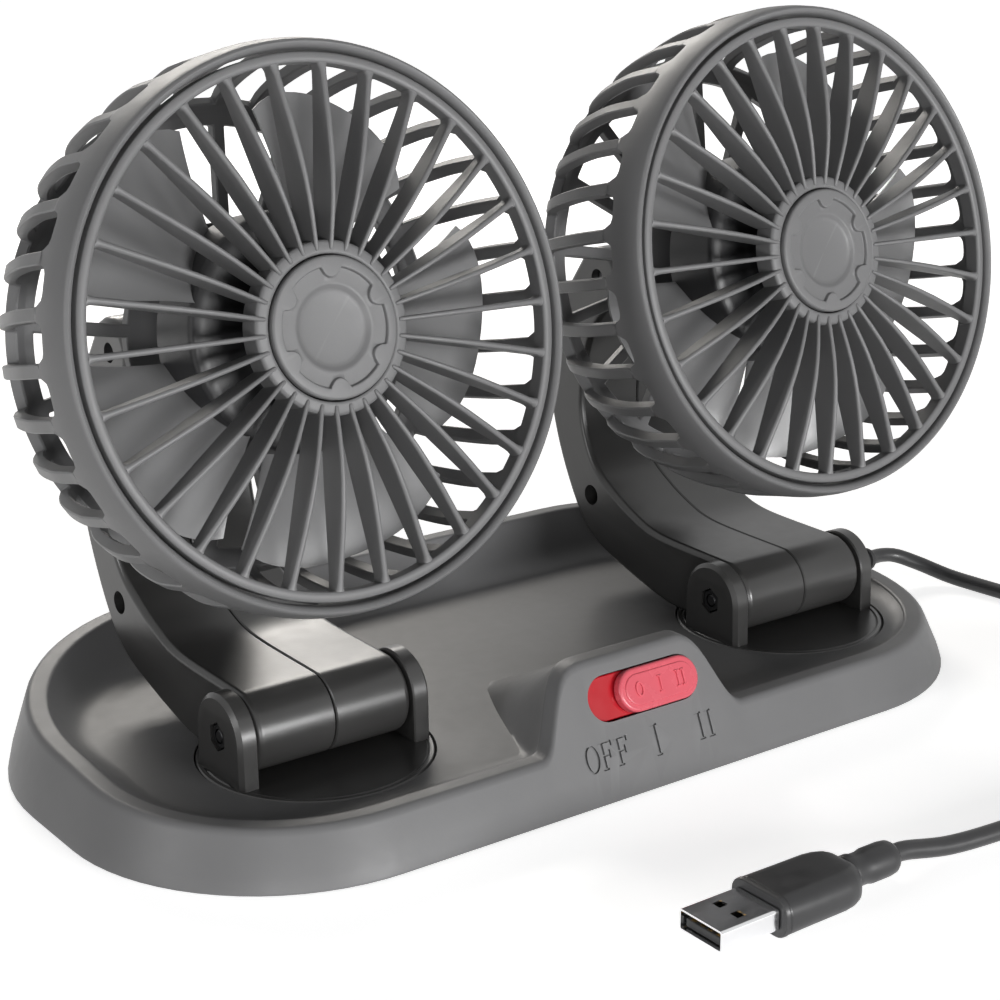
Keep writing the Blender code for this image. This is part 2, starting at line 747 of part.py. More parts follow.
def turntable(tag, side_frame):
    """The round plate in the tray, its hub and its two ears, with the hinge's bolt and nut."""
    plate_low = TRAY_FLOOR - TABLE_THICKNESS
    profile = [
        (0, TRAY_FLOOR),
        (TABLE_RADIUS, TRAY_FLOOR),
        (TABLE_RADIUS, plate_low),
        (TABLE_HUB_RADIUS, plate_low),
        (TABLE_HUB_RADIUS, plate_low - TABLE_HUB_LENGTH),
        (0, plate_low - TABLE_HUB_LENGTH),
    ]
    table = settle(turned("turntable_" + tag, profile, MIDDLE_ROUND), DARK_PLASTIC, side_frame)
    foot = TRAY_FLOOR - TABLE_THICKNESS / 2
    ear = (
        [(-EAR_RADIUS, foot), (EAR_RADIUS, foot)]
        + arc((0, BARREL_HEIGHT), EAR_RADIUS, 0, 180, 9)
    )
    hole = circle(BOLT_RADIUS + GAP, SMALL_ROUND, (0, BARREL_HEIGHT))
    for side in (-1, 1):
        outer = EAR_SPAN / 2
        inner = outer - EAR_THICKNESS
        low, high = (inner, outer) if side > 0 else (-outer, -inner)
        shape = slab(f"ear_{tag}_{side}", [ear, hole], low, high, SIDEWAYS)
        boolean(table, as_cutter(shape, side_frame), "UNION")
    pocket = arc((0, BARREL_HEIGHT), NUT_FLATS / 2 / cos(pi / 6) + GAP, 30, 330, 5)
    outer = EAR_SPAN / 2
    nut_pocket = slab(f"nut_pocket_{tag}", [pocket], -outer - OVERRUN, -outer + POCKET_DEPTH, SIDEWAYS)
    boolean(table, as_cutter(nut_pocket, side_frame), "DIFFERENCE")
    head_pocket = slab(
        f"head_pocket_{tag}",
        [circle(BOLT_HEAD_RADIUS + GAP, SMALL_ROUND, (0, BARREL_HEIGHT))],
        outer - POCKET_DEPTH,
        outer + OVERRUN,
        SIDEWAYS,
    )
    boolean(table, as_cutter(head_pocket, side_frame), "DIFFERENCE")
    retainer_middle = plate_low - TABLE_HUB_LENGTH - GAP - RETAINER_THICKNESS / 2
    retainer = rods(
        "turntable_retainer_" + tag,
        [(RETAINER_RADIUS, RETAINER_THICKNESS, (0, 0, retainer_middle), "Z", MIDDLE_ROUND)],
    )
    settle(retainer, BLACK_PLASTIC, side_frame)
    nut_outline = arc((0, 0), NUT_FLATS / 2 / cos(pi / 6), 30, 330, 5)
    nut_low = -outer + POCKET_DEPTH - GAP - NUT_HEIGHT
    nut = slab(
        "hinge_nut_" + tag,
        [nut_outline, circle(BOLT_RADIUS + GAP, SMALL_ROUND)],
        nut_low,
        nut_low + NUT_HEIGHT,
        SIDEWAYS,
    )
    settle(nut, STEEL, side_frame, (0, 0, BARREL_HEIGHT))
    bolt_length = 2 * outer - POCKET_DEPTH + GAP + BOLT_HEAD_HEIGHT - GAP
    bolt = screw_along_x(
        "hinge_bolt_" + tag,
        BOLT_HEAD_RADIUS,
        BOLT_HEAD_HEIGHT,
        BOLT_RADIUS,
        bolt_length,
        STEEL,
        side_frame,
        (outer - POCKET_DEPTH + GAP + BOLT_HEAD_HEIGHT, 0, BARREL_HEIGHT),
    )
    bolt.rotation_euler = (0, -pi / 2, 0)


# Head: slotted shells, built station by station from the front edge to the middle


def slotted(name, stations, count, width, solid, first=0):
    """A slotted round shell. Each station is an outer and an inner point of radius and height.

    Every bar of the given width is followed by a slot, count times round from the first one's angle.
    solid(row, column) says whether the field between two stations holds material; even columns are
    the bars.
    """
    bm = bmesh.new()
    columns = 2 * count

    def turn_of(column, radius):
        half = asin(width / 2 / radius)
        bar, second = divmod(column, 2)
        return tau * bar / count + (half if second else -half) + radians(first)

    def ring(radius, height):
        turns = [turn_of(c, radius) for c in range(columns)]
        return [bm.verts.new((radius * cos(t), radius * sin(t), height)) for t in turns]

    outer = [ring(*front) for front, _ in stations]
    inner = [ring(*back) for _, back in stations]
    rows = len(stations) - 1
    for row in range(rows):
        for c in range(columns):
            n = (c + 1) % columns
            if not solid(row, c):
                continue
            bm.faces.new((outer[row][c], outer[row][n], outer[row + 1][n], outer[row + 1][c]))
            bm.faces.new((inner[row][n], inner[row][c], inner[row + 1][c], inner[row + 1][n]))
            if not solid(row, (c - 1) % columns):
                bm.faces.new((outer[row][c], outer[row + 1][c], inner[row + 1][c], inner[row][c]))
            if not solid(row, n):
                bm.faces.new((outer[row][n], inner[row][n], inner[row + 1][n], outer[row + 1][n]))
    for row in range(rows + 1):
        for c in range(columns):
            n = (c + 1) % columns
            before = row > 0 and solid(row - 1, c)
            after = row < rows and solid(row, c) or row == rows
            if before != after:
                bm.faces.new((outer[row][c], outer[row][n], inner[row][n], inner[row][c]))
    bm.faces.new(outer[-1])
    bm.faces.new(inner[-1])
    return from_bmesh(name, bm)


def rear_cage(tag, head):
    front = HEAD_REACH
    rear = HEAD_REACH - CAGE_DEPTH
    thick = CAGE_WALL
    seat = GROOVE_RADIUS
    bulge = CAGE_RADIUS
    between = CAGE_DEPTH - BAND_DEPTH
    curl = (CAGE_RADIUS - HOOP_RADIUS) * 0.42
    stations = [
        ((bulge - thick / 3, front + thick / 4), (seat + GAP, front)),
        ((bulge, front - BAND_DEPTH), (bulge - thick, front - BAND_DEPTH)),
        (
            (bulge, front - BAND_DEPTH - between * 0.38),
            (bulge - thick, front - BAND_DEPTH - between * 0.36),
        ),
        (
            (bulge - curl, front - BAND_DEPTH - between * 0.85),
            (bulge - curl - thick, front - BAND_DEPTH - between * 0.80),
        ),
        ((HOOP_RADIUS, rear + thick * 0.4), (HOOP_RADIUS - thick * 0.8, rear + thick * 1.4)),
        (
            (HOOP_RADIUS - thick * 1.5, rear + thick * 0.1),
            (HOOP_RADIUS - thick * 1.8, rear + thick * 1.1),
        ),
        ((HUB_PLATE_RADIUS, rear), (HUB_PLATE_RADIUS, rear + thick)),
    ]

    def solid(row, column):
        if row in (1, 2, 3):
            return column % 2 == 0
        if row == 5:
            return column % 4 == 0
        return True

    shell = slotted("rear_cage_" + tag, stations, RIB_COUNT, RIB_WIDTH, solid)
    cage = settle(shell, GREY_PLASTIC, head, sharp=40)
    top = rear + OVERRUN / 2
    shape = arc((0, 0), KNUCKLE_RADIUS, 180, 360, 10) + [(KNUCKLE_RADIUS, top), (-KNUCKLE_RADIUS, top)]
    knuckle = slab(
        "knuckle_" + tag,
        [shape, circle(PIN_RADIUS + GAP, SMALL_ROUND)],
        -KNUCKLE_WIDTH / 2,
        KNUCKLE_WIDTH / 2,
        SIDEWAYS,
    )
    boolean(cage, as_cutter(knuckle, head), "UNION")


def front_grille(tag, head):
    """The ring in the cage's front edge, the fins and the hub that they meet at."""
    face = HEAD_REACH
    rim = GROOVE_RADIUS - 2 * GAP
    back = face - RING_THICKNESS
    span = GRILLE_OPENING - GRILLE_HUB_RADIUS
    seat = CAP_RADIUS + GAP
    hub_back = face - FIN_DEPTH
    fins = [
        (
            (GRILLE_HUB_RADIUS + span * out, face + FIN_RISE * rise),
            (GRILLE_HUB_RADIUS + span * out, face - FIN_DEPTH * depth),
        )
        for out, rise, depth in FIN_SHARES
    ]
    stations = [
        ((rim, face), (rim, back)),
        ((GRILLE_OPENING, face + GAP), (GRILLE_OPENING, back)),
        *fins,
        ((GRILLE_HUB_RADIUS, face + HUB_RISE), (GRILLE_HUB_RADIUS, hub_back)),
        ((seat, face + HUB_RISE - CAP_SEAT), (seat, hub_back)),
    ]

    def solid(row, column):
        return column % 2 == 0 if row in range(1, 2 + len(FIN_SHARES)) else True

    grille = slotted("front_grille_" + tag, stations, FIN_COUNT, FIN_WIDTH, solid, FIN_TURN)
    settle(grille, GREY_PLASTIC, head, sharp=40)
    cap_low = face + HUB_RISE - CAP_SEAT + GAP
    cap_top = face + HUB_RISE + CAP_PROUD
    profile = [
        (0, cap_top - CAP_DISH_DEPTH),
        (CAP_DISH_RADIUS, cap_top - CAP_DISH_DEPTH),
        (CAP_DISH_RADIUS + CAP_DISH_DEPTH, cap_top),
        (CAP_RADIUS - CAP_DISH_DEPTH, cap_top),
        (CAP_RADIUS, cap_top - CAP_DISH_DEPTH),
        (CAP_RADIUS, cap_low),
        (0, cap_low),
    ]
    settle(turned("hub_cap_" + tag, profile, MIDDLE_ROUND), GREY_PLASTIC, head)


def blade(name, middle_angle):
    """One broad blade: a thin twisted sheet with a rounded outer end."""
    spans = 2
    chords = 4
    bm = bmesh.new()
    sides = []
    root = CUP_RADIUS - OVERRUN / 2
    for lift in (BLADE_THICKNESS / 2, -BLADE_THICKNESS / 2):
        sheet = []
        for i in range(spans + 1):
            out = i / spans
            row = []
            for j in range(chords + 1):
                across = 2 * j / chords - 1
                tip = BLADE_RADIUS - (BLADE_RADIUS - root) * 0.16 * across ** 4
                radius = root + (tip - root) * out
                angle = radians(middle_angle + BLADE_SPREAD / 2 * across * (0.78 + 0.22 * out))
                pitch = (0.5 - across / 2) * (1 - 0.15 * out) + 0.08 * out
                height = HEAD_REACH - BLADE_FRONT - (BLADE_REAR - BLADE_FRONT) * pitch + lift
                row.append(bm.verts.new((radius * cos(angle), radius * sin(angle), height)))
            sheet.append(row)
        sides.append(sheet)
    upper, lower = sides
    for i in range(spans):
        for j in range(chords):
            bm.faces.new((upper[i][j], upper[i][j + 1], upper[i + 1][j + 1], upper[i + 1][j]))
            bm.faces.new((lower[i][j], lower[i + 1][j], lower[i + 1][j + 1], lower[i][j + 1]))
    rim = [(i, 0) for i in range(spans)] + [(spans, j) for j in range(chords)]
    rim += [(i, chords) for i in range(spans, 0, -1)] + [(0, j) for j in range(chords, 0, -1)]
    for (a, b), (c, d) in zip(rim, rim[1:] + rim[:1]):
        bm.faces.new((upper[a][b], upper[c][d], lower[c][d], lower[a][b]))
    return from_bmesh(name, bm)


def fan_drive(tag, head):
    face = HEAD_REACH
    front = face - CUP_FRONT
    profile = [
        (0, front),
        (CUP_RADIUS - CUP_WALL, front),
        (CUP_RADIUS, front - CUP_WALL),
        (CUP_RADIUS, face - CUP_REAR),
        (CUP_RADIUS - CUP_WALL, face - CUP_REAR),
        (CUP_RADIUS - CUP_WALL, front - CUP_WALL),
        (CUP_BOSS_RADIUS, front - CUP_WALL),
        (CUP_BOSS_RADIUS, face - CUP_BOSS_REAR),
        (SHAFT_RADIUS + GAP, face - CUP_BOSS_REAR),
        (SHAFT_RADIUS + GAP, face - SHAFT_FRONT + GAP),
        (0, face - SHAFT_FRONT + GAP),
    ]
    impeller = settle(turned("impeller_" + tag, profile, MIDDLE_ROUND), BLADE_PLASTIC, head, sharp=40)
    for number in range(BLADE_COUNT):
        turn = BLADE_ANGLE + 360 * number / BLADE_COUNT
        shape = as_cutter(blade(f"blade_{tag}_{number + 1}", turn), head)
        boolean(impeller, shape, "UNION")
    motor_rear = face - CAGE_DEPTH + CAGE_WALL + GAP
    motor_front = face - MOTOR_FRONT
    profile = [
        (SHAFT_RADIUS + GAP, motor_front + MOTOR_NOSE_LENGTH),
        (MOTOR_NOSE_RADIUS, motor_front + MOTOR_NOSE_LENGTH),
        (MOTOR_NOSE_RADIUS, motor_front),
        (MOTOR_RADIUS, motor_front),
        (MOTOR_RADIUS, motor_rear),
        (0, motor_rear),
        (0, face - SHAFT_REAR - GAP),
        (SHAFT_RADIUS + GAP, face - SHAFT_REAR - GAP),
        (SHAFT_RADIUS + GAP, motor_front + MOTOR_NOSE_LENGTH),
    ]
    settle(turned("motor_" + tag, profile, SMALL_ROUND), STEEL, head)
    shaft_length = SHAFT_REAR - SHAFT_FRONT
    shaft = rods(
        "motor_shaft_" + tag,
        [(SHAFT_RADIUS, shaft_length, (0, 0, face - SHAFT_FRONT - shaft_length / 2), "Z", SMALL_ROUND)],
    )
    settle(shaft, STEEL, head)


def fan_side(tag, side):
    """Everything that stands on one turntable."""
    side_frame = pivot("swivel_" + tag, place=(side * HEAD_SPACING / 2, PIVOT_Y, 0))
    turntable(tag, side_frame)
    pitch = pivot("arm_pivot_" + tag, side_frame, (0, 0, BARREL_HEIGHT))
    arm_half("arm_outer_half_" + tag, -1, pitch)
    arm_half("arm_inner_half_" + tag, 1, pitch)
    outer = EAR_SPAN / 2 - EAR_THICKNESS - GAP
    head_x = -outer + ARM_SCREW_WELL_DEPTH - GAP - SCREW_HEAD_HEIGHT
    screw_along_x(
        "arm_screw_" + tag,
        ARM_SCREW_WELL - 2 * GAP,
        SCREW_HEAD_HEIGHT,
        SCREW_RADIUS,
        ARM_SCREW_LENGTH,
        STEEL,
        pitch,
        (head_x, ARM_SCREW_BACK, ARM_SCREW_UP),
    )
    head = pivot("head_hinge_" + tag, pitch, (0, HINGE_BACK, HINGE_UP), (radians(90 - HEAD_TILT), 0, 0))
    pin = rods("head_pin_" + tag, [(PIN_RADIUS, PIN_LENGTH, (0, 0, 0), "X", SMALL_ROUND)])
    settle(pin, STEEL, head)
    rear_cage(tag, head)
    front_grille(tag, head)
    fan_drive(tag, head)


# Cord, its coil and its plug

RELIEF_TIP_X = PLUG_X + GAP + RELIEF_LENGTH
GLAND_TIP_X = RIGHT_END + GLAND_LENGTH
PLUG_HEIGHT = PLUG_BODY[2] / 2
LOW_LAYER = TIE_THICKNESS + GAP + CORD_DIAMETER / 2
HIGH_LAYER = LOW_LAYER + CORD_DIAMETER + GAP + GAP / 2
COIL_END_RADIUS = COIL_RADIUS - (COIL_TURNS_IN - COIL_TURNS_OUT) * COIL_PITCH


def coil_points():
    """In on the lower layer, a climb in the half turn where the spiral turns back, and out above."""
    middle = COIL_TURNS_IN + COIL_TURNS_CLIMB / 2
    turns = COIL_TURNS_IN + COIL_TURNS_CLIMB + COIL_TURNS_OUT
    inner = COIL_RADIUS - COIL_PITCH * middle
    points = []
    for i in range(round(turns * COIL_STEPS) + 1):
        at = i / COIL_STEPS
        radius = inner + COIL_PITCH * abs(at - middle)
        climbed = min(max((at - COIL_TURNS_IN) / COIL_TURNS_CLIMB, 0), 1)
        climbed = climbed * climbed * (3 - 2 * climbed)
        height = LOW_LAYER + (HIGH_LAYER - LOW_LAYER) * climbed
        points.append(
            Vector((COIL_X + radius * cos(-tau * at), COIL_Y + radius * sin(-tau * at), height))
        )
    start = points[0] + Vector((0, CORD_DIAMETER, 0))
    end = points[-1] - Vector((CORD_DIAMETER, 0, 0))
    return [start, *points, end]


def least_gap(points):
    """The smallest distance between the sides of two stretches that lie half a turn apart or more."""
    places = np.array([tuple(p) for p in points])
    least = COIL_RADIUS
    for i in range(len(places) - 1):
        later = places[i + COIL_STEPS // 2 :]
        if len(later):
            least = min(least, np.linalg.norm(later - places[i], axis=1).min())
    return least - CORD_DIAMETER


def cord():
    coil = coil_points()
    least = least_gap(coil) * 1000
    print(f"coil: least gap to itself {least:.2f} mm, wanted over {COIL_CLEARANCE * 1000:.1f}")
    resting = CORD_DIAMETER / 2
    # The free stretches keep their own points, chosen by hand for how a soft lead lies.
    lead = [
        (GLAND_TIP_X + GAP, GLAND_Y, GLAND_HEIGHT),
        (GLAND_TIP_X + CORD_DIAMETER, GLAND_Y, GLAND_HEIGHT),
        (0.1347, 0.0008, 0.0072),
        (0.1396, -0.0038, 0.0050),
        (0.1433, -0.0118, 0.0028),
        (0.1458, -0.0225, resting),
        (0.1476, -0.0355, resting),
        (0.1484, -0.0500, resting),
        (0.1478, -0.0680, resting),
        (0.1465, -0.0840, resting),
        (coil[0].x, coil[0].y + CORD_DIAMETER, LOW_LAYER),
        (coil[0].x, coil[0].y + GAP, LOW_LAYER),
    ]
    tail = [
        (coil[-1].x - GAP, coil[-1].y, HIGH_LAYER),
        (coil[-1].x - CORD_DIAMETER, coil[-1].y, HIGH_LAYER),
        (0.1050, -0.1284, 0.0061),
        (0.0960, -0.1277, 0.0034),
        (0.0860, -0.1268, resting),
        (0.0700, -0.1259, resting),
        (0.0500, -0.1256, resting),
        (0.0330, -0.1250, resting),
        (0.0190, -0.1237, 0.0024),
        (RELIEF_TIP_X + CORD_DIAMETER, PLUG_Y, PLUG_HEIGHT),
        (RELIEF_TIP_X + GAP, PLUG_Y, PLUG_HEIGHT),
    ]
    settle(tube("cord_lead", smooth(lead, 2.2 * CORD_DIAMETER), CORD_DIAMETER, 2), CORD_SHEATH)
    settle(tube("cord_coil", coil, CORD_DIAMETER, 1), CORD_SHEATH)
    settle(tube("cord_tail", smooth(tail, 2.2 * CORD_DIAMETER), CORD_DIAMETER, 2), CORD_SHEATH)
    total = sum(
        (b - a).length
        for run in (smooth(lead, CORD_DIAMETER), coil, smooth(tail, CORD_DIAMETER))
        for a, b in zip(run, run[1:])
    )
    print(f"cord: {total:.3f} m in all")


def coil_tie():
    """A flat band round the coil, on the side away from the plug."""
    inner = COIL_RADIUS - COIL_PITCH * (COIL_TURNS_IN + COIL_TURNS_CLIMB / 2) - CORD_DIAMETER / 2 - GAP
    outer = COIL_END_RADIUS + CORD_DIAMETER / 2 + GAP
    low = TIE_THICKNESS
    high = HIGH_LAYER + CORD_DIAMETER / 2 + GAP
    wall = TIE_THICKNESS
    hole = [(inner, low), (outer, low), (outer, high), (inner, high)]
    edge = [
        (inner - wall, 0),
        (outer + wall, 0),
        (outer + wall, high + wall),
        (inner - wall, high + wall),
    ]
    tie = slab("cord_tie", [edge, hole], -TIE_WIDTH / 2, TIE_WIDTH / 2, SIDEWAYS)
    settle(tie, BLACK_PLASTIC, place=(COIL_X, COIL_Y, 0))


def cord_gland():
    """The tapered sleeve that the cord leaves the base through."""
    length = GLAND_INSIDE + GLAND_LENGTH
    profile = [
        (0, length),
        (GLAND_TIP_RADIUS, length),
        (GLAND_ROOT_RADIUS, GLAND_INSIDE + GAP),
        (GLAND_NECK_RADIUS, GLAND_INSIDE + GAP),
        (GLAND_NECK_RADIUS, 0),
        (0, 0),
    ]
    gland = turned("cord_gland", profile, SMALL_ROUND)
    settle(
        gland, RUBBER, place=(RIGHT_END - GLAND_INSIDE, GLAND_Y, GLAND_HEIGHT), turn=(0, pi / 2, 0)
    )


def usb_plug():
    body_x = PLUG_X - PLUG_BODY[0] / 2
    body = blocks("plug_body", [(PLUG_BODY, (body_x, PLUG_Y, PLUG_HEIGHT))])
    settle(body, CORD_SHEATH)
    round_edges(body, PLUG_EDGE, 2)
    profile = [
        (0, RELIEF_LENGTH),
        (RELIEF_TIP_RADIUS, RELIEF_LENGTH),
        (RELIEF_ROOT_RADIUS, RELIEF_LENGTH / 2),
        (RELIEF_ROOT_RADIUS, 0),
        (0, 0),
    ]
    relief = turned("plug_relief", profile, SMALL_ROUND)
    settle(relief, CORD_SHEATH, place=(PLUG_X + GAP, PLUG_Y, PLUG_HEIGHT), turn=(0, pi / 2, 0))
    shell_rear = PLUG_X - PLUG_BODY[0] - GAP
    shell_x = shell_rear - SHELL[0] / 2
    shell = blocks("usb_shell", [(SHELL, (shell_x, PLUG_Y, PLUG_HEIGHT))])
    settle(shell, STEEL)
    hollow = (SHELL[0] + 2 * OVERRUN, SHELL[1] - 2 * SHELL_WALL, SHELL[2] - 2 * SHELL_WALL)
    inside = blocks("shell_hollow", [(hollow, (shell_x, PLUG_Y, PLUG_HEIGHT))])
    boolean(shell, as_cutter(inside), "DIFFERENCE")
    window = (SHELL_WINDOW, SHELL_WINDOW, SHELL[2] + 2 * OVERRUN)
    window_x = shell_rear - SHELL[0] + SHELL_WINDOW_SETBACK
    windows = blocks(
        "shell_windows",
        [
            (window, (window_x, PLUG_Y + side * SHELL_WINDOW_SPACING / 2, PLUG_HEIGHT))
            for side in (-1, 1)
        ],
    )
    boolean(shell, as_cutter(windows), "DIFFERENCE")
    tongue_length = SHELL[0] - TONGUE_SETBACK
    tongue_size = (tongue_length, hollow[1] - 2 * GAP, TONGUE_THICKNESS)
    tongue_low = PLUG_HEIGHT - hollow[2] / 2 + GAP
    tongue = blocks(
        "usb_tongue",
        [(tongue_size, (shell_rear - tongue_length / 2, PLUG_Y, tongue_low + TONGUE_THICKNESS / 2))],
    )
    settle(tongue, BLACK_PLASTIC)


base_housing()
base_plate()
slide_switch()
fan_side("left", -1)
fan_side("right", 1)
cord_gland()
cord()
coil_tie()
usb_plug()
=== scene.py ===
# %% [markdown]
# A dashboard fan with two heads
#
# This lesson dresses a finished mechanical model. The imported model gives every solid its true size and
# place, and each cell below makes one piece again with the rounding, seams and finish that a moulder
# would give it. Everything is in metres and stands in the model's own frame, so a piece is simply built
# where it belongs. The first step loads that frame.

# %% Load the imported model
from math import asin, cos, pi, radians, sin, sqrt, tau

import bmesh
import bpy
from mathutils import Matrix, Vector


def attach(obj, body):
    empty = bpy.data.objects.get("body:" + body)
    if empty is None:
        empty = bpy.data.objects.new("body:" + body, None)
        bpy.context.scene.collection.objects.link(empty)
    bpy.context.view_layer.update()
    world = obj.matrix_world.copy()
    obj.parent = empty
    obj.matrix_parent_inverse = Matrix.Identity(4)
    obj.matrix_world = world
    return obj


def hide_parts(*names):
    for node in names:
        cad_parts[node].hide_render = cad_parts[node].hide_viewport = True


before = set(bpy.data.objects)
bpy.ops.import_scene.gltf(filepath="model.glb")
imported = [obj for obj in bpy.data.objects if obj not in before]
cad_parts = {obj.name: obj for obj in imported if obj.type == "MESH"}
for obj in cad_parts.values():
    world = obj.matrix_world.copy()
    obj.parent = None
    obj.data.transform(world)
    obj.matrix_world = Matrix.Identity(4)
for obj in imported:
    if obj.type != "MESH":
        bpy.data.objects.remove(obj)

scene = bpy.context.scene
scene.view_settings.view_transform = "Standard"
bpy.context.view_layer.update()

# %% [markdown]
# Where the viewer stands
#
# The picture that this model follows looks at the fan from its left and a little above, close up, so the
# left head is drawn larger than the right one. The lens and the place below were worked out from the
# round grooves of the two grilles and the outline of the base, which must all fall on one perspective.

# %% Camera
camera_data = bpy.data.cameras.new("viewer")
camera_data.lens = 76.51
camera_data.sensor_width = 36
camera_data.shift_x = -0.0121
camera_data.shift_y = -0.0457
viewer = bpy.data.objects.new("viewer", camera_data)
viewer.location = (-0.2902, -0.3879, 0.2015)
viewer.rotation_euler = (radians(73.77), 0, radians(-36.75))
scene.collection.objects.link(viewer)
scene.camera = viewer
print("lens", camera_data.lens, "mm at", tuple(round(v, 3) for v in viewer.location))

# %% [markdown]
# Floor, air and lamps
#
# The fan is shown on plain white. The floor could be made white by pouring light on it, but that would
# bleach the grey plastic too. Instead the floor and the air shine only towards the lens and in
# reflections, while the fan itself is lit by soft lamps at an ordinary level. The main lamp stands low
# on the viewer's side, because the upright faces are lighter than the tray that looks up at the ceiling.

# %% Air
PALE = 1.0
GLOSS_LEVEL = 0.8
AIR_LEVEL = 0.24
CEILING_LEVEL = 0.05
CEILING_START = 0.12
CEILING_END = 0.55

world = bpy.data.worlds.new("air")
scene.world = world
world.use_nodes = True
air = world.node_tree
air.nodes.clear()
seen = air.nodes.new("ShaderNodeLightPath")
dim = air.nodes.new("ShaderNodeBackground")
dim.inputs["Strength"].default_value = AIR_LEVEL
white = air.nodes.new("ShaderNodeBackground")
white.inputs["Color"].default_value = (1, 1, 1, 1)
to_lens = air.nodes.new("ShaderNodeMapRange")
to_lens.inputs["To Min"].default_value = GLOSS_LEVEL
to_lens.inputs["To Max"].default_value = PALE
either = air.nodes.new("ShaderNodeMath")
either.operation = "MAXIMUM"
any_of = air.nodes.new("ShaderNodeMath")
any_of.operation = "MAXIMUM"
blend_air = air.nodes.new("ShaderNodeMixShader")
air_out = air.nodes.new("ShaderNodeOutputWorld")
compass = air.nodes.new("ShaderNodeTexCoord")
height = air.nodes.new("ShaderNodeSeparateXYZ")
fade = air.nodes.new("ShaderNodeMapRange")
fade.interpolation_type = "SMOOTHSTEP"
fade.inputs["From Min"].default_value = CEILING_START
fade.inputs["From Max"].default_value = CEILING_END
fade.inputs["To Min"].default_value = 1.0
fade.inputs["To Max"].default_value = CEILING_LEVEL
air.links.new(compass.outputs["Generated"], height.inputs["Vector"])
air.links.new(height.outputs["Z"], fade.inputs["Value"])
air.links.new(fade.outputs["Result"], dim.inputs["Color"])
air.links.new(seen.outputs["Is Camera Ray"], to_lens.inputs["Value"])
air.links.new(to_lens.outputs["Result"], white.inputs["Strength"])
air.links.new(seen.outputs["Is Camera Ray"], either.inputs[0])
air.links.new(seen.outputs["Is Glossy Ray"], either.inputs[1])
air.links.new(either.outputs[0], any_of.inputs[0])
air.links.new(seen.outputs["Is Transmission Ray"], any_of.inputs[1])
air.links.new(any_of.outputs[0], blend_air.inputs["Fac"])
air.links.new(dim.outputs[0], blend_air.inputs[1])
air.links.new(white.outputs[0], blend_air.inputs[2])
air.links.new(blend_air.outputs[0], air_out.inputs["Surface"])
print("air level", AIR_LEVEL, "and white towards the lens")

# %% Floor
FLOOR_REACH = 4.0
FLOOR_DROP = -0.0002
FLOOR_GLOW = 0.76
FAR_GLOW = 1.0
GLOW_START = 0.20
GLOW_END = 0.90
PAPER_WHITE = (0.86, 0.86, 0.86, 1)

floor_mesh = bpy.data.meshes.new("floor")
corners = ((-1, -1), (1, -1), (1, 1), (-1, 1))
floor_corners = [(x * FLOOR_REACH, y * FLOOR_REACH, FLOOR_DROP) for x, y in corners]
floor_mesh.from_pydata(floor_corners, [], [(0, 1, 2, 3)])
floor = bpy.data.objects.new("floor", floor_mesh)
scene.collection.objects.link(floor)
paper = bpy.data.materials.new("pale_paper")
paper.use_nodes = True
tree = paper.node_tree
shader = tree.nodes["Principled BSDF"]
shader.inputs["Base Color"].default_value = PAPER_WHITE
shader.inputs["Roughness"].default_value = 0.9
shader.inputs["Specular IOR Level"].default_value = 0.1
shader.inputs["Emission Color"].default_value = (1, 1, 1, 1)
path_kind = tree.nodes.new("ShaderNodeLightPath")
seen_at_all = tree.nodes.new("ShaderNodeMath")
seen_at_all.operation = "MAXIMUM"
glow = tree.nodes.new("ShaderNodeMath")
glow.operation = "MULTIPLY"
place = tree.nodes.new("ShaderNodeTexCoord")
distance = tree.nodes.new("ShaderNodeVectorMath")
distance.operation = "LENGTH"
outwards = tree.nodes.new("ShaderNodeMapRange")
outwards.inputs["From Min"].default_value = GLOW_START
outwards.inputs["From Max"].default_value = GLOW_END
outwards.inputs["To Min"].default_value = FLOOR_GLOW
outwards.inputs["To Max"].default_value = FAR_GLOW
tree.links.new(place.outputs["Object"], distance.inputs[0])
tree.links.new(distance.outputs["Value"], outwards.inputs["Value"])
tree.links.new(outwards.outputs["Result"], glow.inputs[1])
tree.links.new(path_kind.outputs["Is Camera Ray"], seen_at_all.inputs[0])
tree.links.new(path_kind.outputs["Is Glossy Ray"], seen_at_all.inputs[1])
tree.links.new(seen_at_all.outputs[0], glow.inputs[0])
tree.links.new(glow.outputs[0], shader.inputs["Emission Strength"])
floor_mesh.materials.append(paper)
print("floor", 2 * FLOOR_REACH, "m wide")

# %% Lamps
MIDDLE = Vector((0, 0, 0.08))


def soft_lamp(name, place, width, height, watts, warmth=(1, 1, 1)):
    """A large soft lamp that looks at the middle of the fan."""
    data = bpy.data.lights.new(name, "AREA")
    data.shape = "RECTANGLE"
    data.size = width
    data.size_y = height
    data.energy = watts
    data.color = warmth
    lamp = bpy.data.objects.new(name, data)
    lamp.location = place
    lamp.rotation_euler = (MIDDLE - Vector(place)).to_track_quat("-Z", "Y").to_euler()
    scene.collection.objects.link(lamp)
    return lamp


soft_lamp("main_lamp", (0.24, -1.20, 0.16), 0.5, 0.25, 12.5)
soft_lamp("side_lamp", (-0.65, -1.05, 0.10), 0.4, 0.2, 4.5)
soft_lamp("left_lamp", (-1.25, -0.10, 0.30), 0.3, 0.6, 4)
soft_lamp("rim_lamp", (0.30, 0.95, 0.60), 0.6, 0.2, 5, (1.0, 0.96, 0.90))
print("four lamps round", tuple(MIDDLE))
